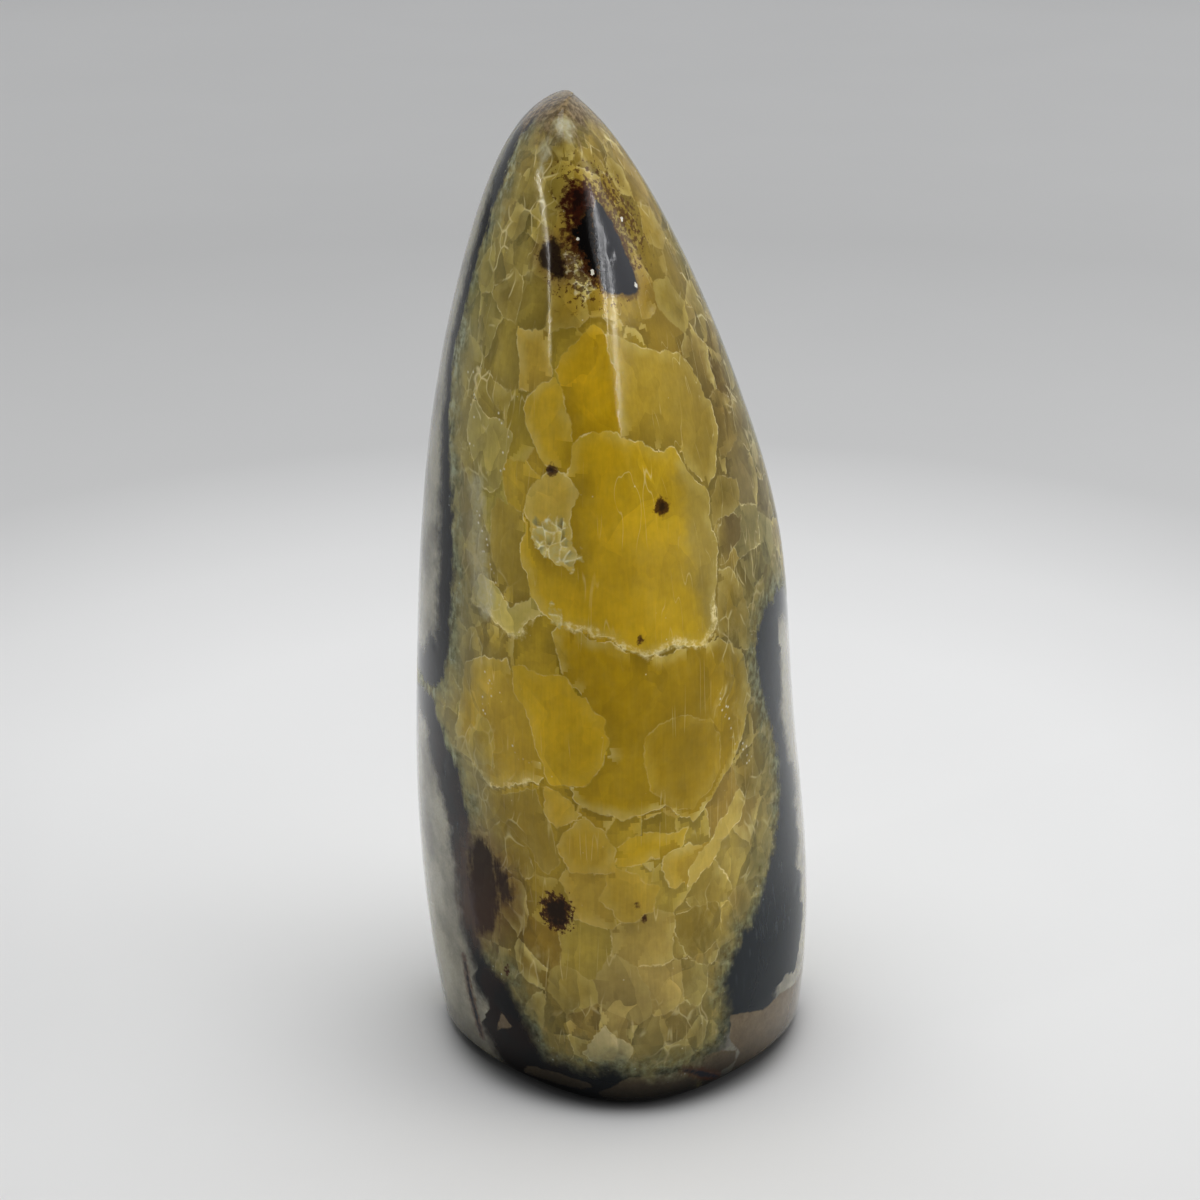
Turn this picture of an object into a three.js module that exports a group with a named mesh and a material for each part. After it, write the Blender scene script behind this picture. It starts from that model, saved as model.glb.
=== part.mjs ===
// Septarian nodule, cut flat underneath and polished all round as a leaning, free-standing point.
// Millimetres, +Z up. The front, with its wide calcite window, faces -Y. The origin is under the
// middle of the stone's own box, on the flat base.
import * as THREE from "three";
import { NURBSCurve } from "three/addons/curves/NURBSCurve.js";

// Driving dimensions. Each row pulls the skin towards it at one height: how far the stone reaches to
// the left, right, front and back of a plumb line through the base. The last row is the tip.
const HEIGHT = 150;
const TIP_X = -7;
const TIP_Y = 1.5;
const REACH = [
  { height: 0, left: -27.5, right: 28, front: -23, back: 29 },
  { height: 10, left: -29.5, right: 29.5, front: -27, back: 34 },
  { height: 30, left: -32, right: 29.5, front: -23, back: 35 },
  { height: 55, left: -31.5, right: 25.5, front: -25, back: 35.5 },
  { height: 80, left: -30.5, right: 25, front: -24, back: 34 },
  { height: 103, left: -28, right: 18, front: -21.5, back: 30.5 },
  { height: 122, left: -24, right: 10.5, front: -18, back: 25.5 },
  { height: 137, left: -19.5, right: 3, front: -13, back: 19 },
  { height: 147, left: -14.5, right: -4, front: -8, back: 12.5 },
  { height: HEIGHT, left: -9.5, right: -8, front: -3, back: 6.5 },
  { height: HEIGHT, left: TIP_X, right: TIP_X, front: TIP_Y, back: TIP_Y },
];

const EGG = 0.19; // how much narrower the front of each level is than its back
const LEAN = 0.03; // share of the half width by which the front and back ridges sit to the right
const SQUARING = -0.035; // below 0 the level's shoulders are slightly cut away
const FOOT_ROUND = 2.5; // radius of the polished edge round the flat base
const FOOT_STEPS = 5;
const MEAN_HALF_WIDTH = 29; // turns the foot's radius into a share of a level's size
const LEVELS = 50; // rings of facets from the foot to the tip
const CROWDING = 1.35; // above 1 the rings stand closer together near the tip
const FACETS = 80; // facets round each ring
const DEGREE = 3;

// Knots of a clamped, evenly spaced cubic curve with as many control points as the table has rows.
function clampedKnots() {
  const spans = REACH.length - DEGREE;
  const inner = Array.from({ length: spans - 1 }, (_, i) => (i + 1) / spans);
  return [...Array(DEGREE + 1).fill(0), ...inner, ...Array(DEGREE + 1).fill(1)];
}

// Two smooth curves up the stone: one holds left, right and height, the other front and back.
const knots = clampedKnots();
const flanks = new NURBSCurve(
  DEGREE,
  knots,
  REACH.map((row) => new THREE.Vector4(row.left, row.right, row.height, 1)),
);
const faces = new NURBSCurve(
  DEGREE,
  knots,
  REACH.map((row) => new THREE.Vector4(row.front, row.back, row.height, 1)),
);

// A point of the skin: rise runs from 0 at the foot to 1 at the tip, turn goes round from +X, and
// share is 1 on the skin and 0 on the stone's middle line.
function skinPoint(rise, turn, share) {
  const flank = flanks.getPoint(rise);
  const face = faces.getPoint(rise);
  const halfWidth = (flank.y - flank.x) / 2;
  const halfDepth = (face.y - face.x) / 2;
  const cosine = Math.cos(turn);
  const sine = Math.sin(turn);
  const fullness = 1 + SQUARING * Math.sin(2 * turn) ** 2;
  const across = halfWidth * (cosine * (1 + EGG * sine) * fullness + LEAN * sine * sine);
  const along = halfDepth * sine * fullness;
  return new THREE.Vector3(
    (flank.x + flank.y) / 2 + share * across,
    (face.x + face.y) / 2 + share * along,
    flank.z,
  );
}

// The profile that is spun into rings: x is the share, y the rise. It starts in the middle of the
// flat base, turns up round the foot and ends on the tip.
function profile() {
  const points = [new THREE.Vector2(0, 0)];
  for (let step = 0; step <= FOOT_STEPS; step++) {
    const angle = (step / FOOT_STEPS) * (Math.PI / 2);
    const inset = FOOT_ROUND * (1 - Math.sin(angle));
    const lift = FOOT_ROUND * (1 - Math.cos(angle));
    points.push(new THREE.Vector2(1 - inset / MEAN_HALF_WIDTH, riseAt(lift)));
  }
  const start = riseAt(FOOT_ROUND);
  for (let level = 1; level < LEVELS; level++) {
    const climbed = 1 - (1 - level / LEVELS) ** CROWDING;
    points.push(new THREE.Vector2(1, start + (1 - start) * climbed));
  }
  points.push(new THREE.Vector2(0, 1));
  return points;
}

// The rise at which the skin is a given height above the base, by halving.
function riseAt(height) {
  let low = 0;
  let high = 1;
  for (let pass = 0; pass < 40; pass++) {
    const middle = (low + high) / 2;
    if (flanks.getPoint(middle).z < height) low = middle;
    else high = middle;
  }
  return height === 0 ? 0 : (low + high) / 2;
}

// A spun ring of the profile, each vertex then moved to its place on the skin.
function noduleGeometry() {
  const outline = profile();
  const geometry = new THREE.LatheGeometry(outline, FACETS);
  const position = geometry.getAttribute("position");
  for (let index = 0; index < position.count; index++) {
    const spoke = Math.floor(index / outline.length) % FACETS;
    const { x: share, y: rise } = outline[index % outline.length];
    const point = skinPoint(rise, (2 * Math.PI * spoke) / FACETS, share);
    position.setXYZ(index, point.x, point.y, point.z);
  }
  geometry.computeBoundingBox();
  const middle = geometry.boundingBox.getCenter(new THREE.Vector3());
  geometry.translate(-middle.x, -middle.y, 0);
  geometry.computeVertexNormals();
  return geometry;
}

const polishedStone = new THREE.MeshStandardMaterial({
  name: "polished_stone",
  color: new THREE.Color(0.45, 0.37, 0.13),
  roughness: 0.15,
  metalness: 0,
});

const nodule = new THREE.Mesh(noduleGeometry(), polishedStone);
nodule.name = "nodule";

const part = new THREE.Group();
part.add(nodule);

export default part;
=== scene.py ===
# %% [markdown]
# # A septarian nodule, polished as a leaning point
#
# A septarian nodule starts as a ball of mud that dries, shrinks and cracks inside. Yellow calcite fills
# the cracks, and the mud hardens into dark-rimmed, grey-brown stone. This one is cut flat underneath,
# and the rest is ground into a leaning point and polished.
#
# The stone is one piece, so it is one mesh. Its shape could come from sculpting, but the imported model
# already holds the shape, so this lesson reads it, weaves a finer skin through it, works out on that
# skin where each crystal, rim and spot lies, and lets one material paint them.

import bpy
import numpy as np
from mathutils import Matrix, Vector, noise
from mathutils.kdtree import KDTree


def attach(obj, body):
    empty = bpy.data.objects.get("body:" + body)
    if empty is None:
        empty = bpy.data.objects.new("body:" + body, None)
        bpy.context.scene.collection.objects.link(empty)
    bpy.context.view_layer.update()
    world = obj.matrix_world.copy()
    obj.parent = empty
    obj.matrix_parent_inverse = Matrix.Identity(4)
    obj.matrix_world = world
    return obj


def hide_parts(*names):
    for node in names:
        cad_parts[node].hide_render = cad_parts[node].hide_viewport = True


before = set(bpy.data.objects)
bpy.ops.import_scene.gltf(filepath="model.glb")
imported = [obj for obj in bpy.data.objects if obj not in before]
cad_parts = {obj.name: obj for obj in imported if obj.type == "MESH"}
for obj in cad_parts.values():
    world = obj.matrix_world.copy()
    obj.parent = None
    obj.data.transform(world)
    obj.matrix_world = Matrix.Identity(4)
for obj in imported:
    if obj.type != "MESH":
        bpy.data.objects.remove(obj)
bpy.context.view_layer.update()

MM = 0.001
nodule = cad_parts["nodule"]

# %% [markdown]
# ## A finer skin
#
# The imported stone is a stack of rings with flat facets, which would show in a polished surface. The
# ring corners lie on a smooth shape, though, so smooth curves through them find it again: a Fourier
# series round each ring, because a ring closes on itself, and a cubic spline up the stone. Subdivision
# would round the shape off and shrink it, and these curves don't.

# %% Read the rings
FOOT_ROUND = 2.5
FOOT_RINGS = 6
RING_CORNERS = 60
RING_LEVEL = 0.006
BASE_MIDDLE_REACH = 10


def read_rings(obj):
    """The rings of corners from the base up, each one starting at the front ridge, in millimetres."""
    corners = np.array([vertex.co for vertex in obj.data.vertices]) / MM
    corners = np.unique(corners.round(4), axis=0)
    rings = []
    for height in np.unique(corners[:, 2].round(2)):
        ring = corners[abs(corners[:, 2] - height) < RING_LEVEL]
        middle = (ring.min(0) + ring.max(0)) / 2
        if height == 0:
            ring = ring[np.linalg.norm(ring - middle, axis=1) > BASE_MIDDLE_REACH]
        if len(ring) < RING_CORNERS:
            continue
        turns = np.arctan2(ring[:, 1] - middle[1], ring[:, 0] - middle[0])
        ring = ring[np.argsort(turns)]
        rings.append(np.roll(ring, -ring[:, 1].argmin(), axis=0))
    return np.array(rings), corners[corners[:, 2].argmax()]


rings, tip = read_rings(nodule)
print(f"{len(rings)} rings of {rings.shape[1]} corners, tip at {tip.round(1)} mm")
print("ring heights at the foot:", rings[:FOOT_RINGS, 0, 2].round(2))

# %% Curves round the rings and up the stone
COLUMNS = 290
FRONT_CROWDING = 0.35
ROW_STEP = 0.56
FOOT_ROWS = 8
RIDGE_STEPS = 2000


def round_the_rings(bearings):
    """Every ring read at the same bearings, in degrees to the right of the front ridge."""
    count = rings.shape[1]
    waves = np.fft.fft(rings[:, :, 0] + 1j * rings[:, :, 1], axis=1) / count
    turns = np.fft.fftfreq(count, 1 / count)
    flat = waves @ np.exp(1j * np.outer(turns, np.radians(bearings)))
    height = np.broadcast_to(rings[:, :1, 2], flat.shape)
    return np.stack([flat.real, flat.imag, height], -1)


def spline(rows, at):
    """A natural cubic spline through rows of values, read at fractional row numbers."""
    inner = len(rows) - 2
    bend = np.zeros_like(rows)
    pull = 6 * (rows[2:] - 2 * rows[1:-1] + rows[:-2])
    link = 4 * np.eye(inner) + np.eye(inner, k=1) + np.eye(inner, k=-1)
    bend[1:-1] = np.linalg.solve(link, pull.reshape(inner, -1)).reshape(pull.shape)
    low = np.clip(at.astype(int), 0, len(rows) - 2)
    high_share = (at - low).reshape(-1, *[1] * (rows.ndim - 1))
    low_share = 1 - high_share
    chord = low_share * rows[low] + high_share * rows[low + 1]
    curve = (low_share**3 - low_share) * bend[low] + (high_share**3 - high_share) * bend[low + 1]
    return chord + curve / 6


even = np.linspace(-np.pi, np.pi, COLUMNS, endpoint=False)
bearings = np.degrees(even - FRONT_CROWDING * np.sin(even))
coarse = round_the_rings(bearings)
foot_places = np.linspace(0, FOOT_RINGS - 1, FOOT_ROWS, endpoint=False)
foot = spline(coarse[:FOOT_RINGS], foot_places)

body = np.concatenate([coarse[FOOT_RINGS - 1:], np.broadcast_to(tip, (1, COLUMNS, 3))])
fine_rows = np.linspace(0, len(body) - 1, RIDGE_STEPS)
ridges = spline(body[:, [0, COLUMNS // 2]], fine_rows)
climbed = np.linalg.norm(np.diff(ridges, axis=0), axis=2).mean(1).cumsum()
row_count = int(climbed[-1] / ROW_STEP)
row_places = np.interp(np.linspace(0, climbed[-1], row_count + 1)[:-1], climbed, fine_rows[1:])
row_places[0] = 0
skin = spline(body, row_places)
skin_heights = skin[:, 0, 2]
print(f"the fine skin has {skin.shape[0]} rows of {COLUMNS} columns, {len(foot)} more on the foot")

# %% [markdown]
# ## A chart of the skin
#
# To draw on the stone, each place gets two numbers, as on a globe: its bearing in degrees to the right
# of the front ridge, and its height in millimetres. The outlines of crystals and rims are short lists
# of such places. A place at the back may go past 180 degrees, so that an outline can cross the back.

# %% From the chart to the skin
wrapped_bearings = np.append(bearings, bearings[0] + 360)
wrapped_skin = np.concatenate([skin, skin[:, :1]], axis=1)


def on_skin(chart):
    """The places on the skin, in millimetres, of rows of (bearing, height)."""
    bearing = (chart[:, 0] + 180) % 360 - 180
    column = np.interp(bearing, wrapped_bearings, np.arange(COLUMNS + 1))
    row = np.interp(chart[:, 1], skin_heights, np.arange(len(skin_heights)))
    left = np.clip(column.astype(int), 0, COLUMNS - 1)
    low = np.clip(row.astype(int), 0, len(skin_heights) - 2)
    right_share = (column - left)[:, None]
    high_share = (row - low)[:, None]
    below = wrapped_skin[low, left] * (1 - right_share) + wrapped_skin[low, left + 1] * right_share
    above = wrapped_skin[low + 1, left] * (1 - right_share) + wrapped_skin[low + 1, left + 1] * right_share
    place = below * (1 - high_share) + above * high_share
    place[:, 2] += np.minimum(chart[:, 1] - skin_heights[0], 0)
    return place


print(f"the chart runs from {skin_heights[0]:.1f} to {skin_heights[-1]:.1f} mm up the stone")

# %% Outlines
NOISE_SEED = 7
SEED_SHIFT = (17.3, 5.1, -9.7)
MM_PER_DEGREE = 0.5
noise.seed_set(NOISE_SEED)


def wander(places, size, seed):
    """Smooth random numbers from about -1 to 1 at places in millimetres, one row of three for each."""
    shift = Vector([seed * step for step in SEED_SHIFT])
    return np.array([noise.noise_vector(Vector(place) / size + shift) for place in places])


def rounded(outline, steps=6):
    """A closed outline with smooth curves through its points (Catmull-Rom)."""
    start = np.array(outline, float)[:, None]
    before, end, after = (np.roll(start, turn, 0) for turn in (1, -1, -2))
    way = (np.arange(steps) / steps)[None, :, None]
    bend = 2 * before - 5 * start + 4 * end - after
    twist = 3 * start - before - 3 * end + after
    curve = 2 * start + (end - before) * way + bend * way**2 + twist * way**3
    return (curve / 2).reshape(-1, start.shape[-1])


def straight(outline, steps=10):
    """A closed outline with straight sides between its points."""
    start = np.array(outline, float)[:, None]
    way = (np.arange(steps) / steps)[None, :, None]
    return (start + (np.roll(start, -1, 0) - start) * way).reshape(-1, start.shape[-1])


def ragged(loop, amount, size, seed):
    """The loop with its points moved about by up to an amount in millimetres, as stone breaks."""
    drift = wander(on_skin(loop[:, :2]), size, seed) * amount
    loop = loop.copy()
    loop[:, 0] += drift[:, 0] / MM_PER_DEGREE
    loop[:, 1] += drift[:, 2]
    return loop


triangle = rounded([(0, 20), (10, 30), (-10, 30)])
print(f"{len(triangle)} points on a rounded outline drawn with 3")
print("its first point, made ragged:", ragged(triangle, 1, 5, 1)[0].round(1))

# %% Distances from an outline
TINY = 1e-9


def is_inside(chart, loop):
    """For each (bearing, height), whether the loop goes round it."""
    middle = loop[:, 0].mean()
    bearing = (chart[:, 0] - middle + 180) % 360 - 180 + middle
    inside = np.zeros(len(chart), bool)
    for (start, low), (end, high) in zip(loop[:, :2], np.roll(loop[:, :2], -1, 0)):
        if low == high:
            continue
        spans = (chart[:, 1] > low) != (chart[:, 1] > high)
        inside ^= spans & (bearing < start + (chart[:, 1] - low) * (end - start) / (high - low))
    return inside


def depth_in(places, chart, loop, reach):
    """Millimetres from each place to the loop, above 0 inside it, and the loop's nearest point.

    Places outside the loop's box, widened by reach, are given minus reach."""
    corners = on_skin(loop[:, :2])
    near = np.all((places > corners.min(0) - reach) & (places < corners.max(0) + reach), axis=1)
    depth = np.full(len(places), -reach)
    nearest = np.zeros(len(places))
    spots = places[near]
    best = np.full(len(spots), np.inf)
    best_at = np.zeros(len(spots))
    for index, (start, end) in enumerate(zip(corners, np.roll(corners, -1, 0))):
        side = end - start
        share = np.clip((spots - start) @ side / max(side @ side, TINY), 0, 1)
        gap = ((spots - start - share[:, None] * side) ** 2).sum(1)
        closer = gap < best
        best[closer] = gap[closer]
        best_at[closer] = index + share[closer]
    inside = is_inside(chart[near], loop)
    depth[near] = np.minimum(np.sqrt(best), reach) * np.where(inside, 1, -1)
    nearest[near] = best_at
    return depth, nearest


print("inside the triangle, in its middle and far off:", is_inside(np.array([[0, 25], [90, 25]]), triangle))

# %% The rounded foot and the flat base
BASE_RINGS = 12


def base_rows():
    """Rows from near the middle of the flat base out to its edge, and how far each is from the edge."""
    edge = foot[0]
    middle = (edge.min(0) + edge.max(0)) / 2
    reach = np.linalg.norm(edge - middle, axis=1).mean()
    shares = np.linspace(0, 1, BASE_RINGS + 1)[1:-1]
    return np.array([middle + (edge - middle) * share for share in shares]), (1 - shares) * reach


base, from_edge = base_rows()
foot_heights = FOOT_ROUND - FOOT_ROUND * np.pi / 2 * (1 - foot_places / (FOOT_RINGS - 1))
base_heights = foot_heights[0] - from_edge
skin = np.concatenate([base, foot, skin])
ROWS = len(skin)
places = skin.reshape(-1, 3)
chart_heights = np.concatenate([base_heights, foot_heights, skin_heights])
chart = np.stack([np.tile(bearings, ROWS), np.repeat(chart_heights, COLUMNS)], -1)
unrolled = on_skin(chart)
print(f"{len(places)} places on the chart, {len(foot) + len(base)} rows of them below the flanks")

# %% [markdown]
# ## Mud blocks and their dark rims
#
# Between the calcite lie blocks of hardened mud with straight sides and sharp corners, as mud cracks
# give. Each has a blue-black rim against the calcite. Random cracks could give such blocks, but the
# rims that frame the window are what makes this stone itself, so each block is drawn as an outline of
# (bearing, height, rim width in mm). Every place then gets its distance to the nearest outline, called
# the shore: above 0 in the calcite, below 0 in the mud.

# %% Draw the blocks
UNDER_FOOT = -22
BLOCKS = {
    "left flank": [
        (-44, 150, 2), (-62, 148, 2.5), (-70, 144, 3), (-69, 138, 3), (-71, 130, 2.5), (-75, 122, 2),
        (-77, 114, 2), (-75, 107, 2.2), (-70, 99, 2.8), (-67.5, 93, 3.2), (-65, 87, 3.6), (-64, 81, 4),
        (-63.6, 77, 4.2), (-65, 73, 3.6), (-65, 69.5, 4.2), (-65.5, 67, 5), (-68, 64, 6),
        (-73, 61.2, 6), (-80, 60.4, 5), (-92, 61, 2.6), (-108, 69, 2.2), (-126, 75, 2.2), (-133, 88, 2),
        (-130, 104, 2), (-136, 118, 2), (-128, 132, 1.6), (-118, 144, 1.4), (-110, 149, 1.2),
    ],
    "left foot": [
        (-74, 59, 4), (-70, 56, 5), (-65.5, 52.8, 6.5), (-60.8, 50.6, 6.5), (-58.4, 47, 6.5),
        (-56.4, 43.2, 6), (-55.9, 39, 5), (-57.7, 33.6, 3.2), (-56.6, 29.7, 3.4), (-55.3, 24.2, 3.4),
        (-53.5, 20.4, 3.6), (-50, 19, 7), (-45, 18.6, 11), (-40, 15.4, 12), (-35, 11.2, 12),
        (-31.6, 7.6, 11), (-20.8, 7.4, 9), (-12.1, 7.6, 8), (-5, 8.2, 7), (-1, 7, 5), (5.1, 6.4, 2),
        (12.5, 6.1, 0.8), (21.8, 6, 0.6), (30, 4, 0.6), (40, UNDER_FOOT, 0.6),
        (-40, UNDER_FOOT, 3), (-88, UNDER_FOOT, 2.4), (-106, 12, 2.4), (-110, 28, 2.4), (-104, 44, 2.4),
        (-92, 58, 2.6), (-80, 59.4, 5),
    ],
    "right foot": [
        (71, 74, 16), (66, 72.5, 16), (62.5, 69, 14), (65, 63, 9), (70, 56, 4), (73.5, 49, 3.5),
        (72.5, 43, 6), (66, 36, 9), (59, 30, 16), (52, 26, 40), (44.5, 22.5, 40), (39, 19, 40),
        (38.1, 17, 40), (39.6, 14.5, 40), (40.6, 12, 12), (39.5, 10, 1), (37.5, 8.6, 0.6),
        (35.1, 7.7, 0.6), (28, 6.9, 0.6), (21.8, 6.2, 0.5), (26, 2, 0.5), (34, UNDER_FOOT, 0.6),
        (112, UNDER_FOOT, 2.4), (120, 14, 2.4), (128, 32, 2.4), (124, 50, 2.2), (110, 66, 2.2),
        (92, 73, 3), (80, 75.5, 4),
    ],
    "right shoulder": [
        (104, 90, 1.8), (124, 84, 1.8), (138, 92, 1.8), (140, 108, 1.8), (130, 124, 1.6), (112, 132, 1.4),
        (101, 120, 1.6), (98, 104, 1.8),
    ],
    "back shoulder": [
        (150, 84, 2.2), (168, 76, 2.2), (196, 80, 2.4), (212, 92, 2.2), (218, 108, 2.2), (208, 126, 2),
        (188, 138, 1.8), (164, 136, 1.8), (150, 122, 2), (153, 102, 2.2),
    ],
    "back waist": [
        (136, 48, 2.4), (142, 64, 2.2), (158, 68, 2), (184, 66, 2.4), (204, 70, 2.6), (216, 62, 2.6),
        (218, 44, 2.6), (204, 34, 2.4), (176, 28, 2.2), (150, 30, 2.2), (138, 38, 2.2),
    ],
    "back foot": [
        (132, UNDER_FOOT, 2.2), (134, 10, 2.2), (146, 20, 2.2), (170, 18, 2.2), (196, 24, 2.4),
        (222, 32, 2.4), (240, 26, 2.6), (246, 10, 2.4), (262, UNDER_FOOT, 2.2),
    ],
}
BLOCK_REACH = 40.0
BLOCK_RAGGED = 0.45
BREAK_SIZE = 2.2
RIM_SMOOTHINGS = 60
WIDEST_RIM_BEHIND = 12
FRONT_HALF = 88


def measure_shore(places, chart):
    """The shore distance and the rim's width, in millimetres."""
    shore = np.full(len(places), BLOCK_REACH)
    rim = np.ones(len(places))
    for seed, outline in enumerate(BLOCKS.values(), start=1):
        loop = ragged(straight(outline), BLOCK_RAGGED, BREAK_SIZE, seed)
        depth, nearest = depth_in(places, chart, loop, BLOCK_REACH)
        closer = -depth < shore
        shore[closer] = -depth[closer]
        rim[closer] = np.interp(nearest[closer], np.arange(len(loop)), loop[:, 2])
    return shore, rim


def smooth(values, times):
    """The values of the places, each averaged with its neighbours again and again."""
    grid = values.reshape(ROWS, COLUMNS)
    for _ in range(times):
        grid = (np.roll(grid, 1, 1) + grid + np.roll(grid, -1, 1)) / 3
        grid[1:-1] = (grid[:-2] + grid[1:-1] + grid[2:]) / 3
    return grid.ravel()


shore, rim = measure_shore(unrolled, chart)
rim = np.where(abs(chart[:, 0]) < FRONT_HALF, rim, smooth(rim.clip(0, WIDEST_RIM_BEHIND), RIM_SMOOTHINGS))
print(f"{(shore > 0).mean():.0%} of the places are calcite")

# %% [markdown]
# ## Crystals
#
# Polishing cuts the calcite crystals through, and each shows as a patch of its own tone, with a pale,
# jagged seam where it meets the next. One crystal always dips under its neighbour, so the upper one
# looks milky along the seam and the lower one dark.
#
# The large crystals of the window are outlines of (bearing, height), listed from the uppermost down.
# The small ones round them are a Voronoi pattern: seeds at random, and each place belongs to its
# nearest seed. Blender's Voronoi texture could draw these, but not the large ones among them.

# %% Tones of calcite
TONES = {
    "amber": (207, 173, 10),
    "deep amber": (170, 142, 6),
    "gold": (200, 170, 34),
    "honey": (190, 162, 62),
    "dull honey": (170, 149, 68),
    "olive": (152, 132, 60),
    "dark olive": (130, 112, 42),
    "brown": (134, 106, 36),
    "pale": (198, 176, 96),
    "green": (154, 146, 96),
    "moss": (164, 154, 88),
    "taupe": (138, 124, 86),
    "umber": (98, 80, 46),
    "grey": (138, 130, 94),
    "milk": (214, 204, 168),
    "light honey": (222, 192, 60),
    "light moss": (188, 178, 114),
}
print(f"{len(TONES)} tones of calcite")


def linear(colour):
    """A colour as painters know it, 0 to 255, as the amount of light that a shader counts in."""
    share = np.array(colour) / 255
    return np.where(share > 0.04045, ((share + 0.055) / 1.055) ** 2.4, share / 12.92)


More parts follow.
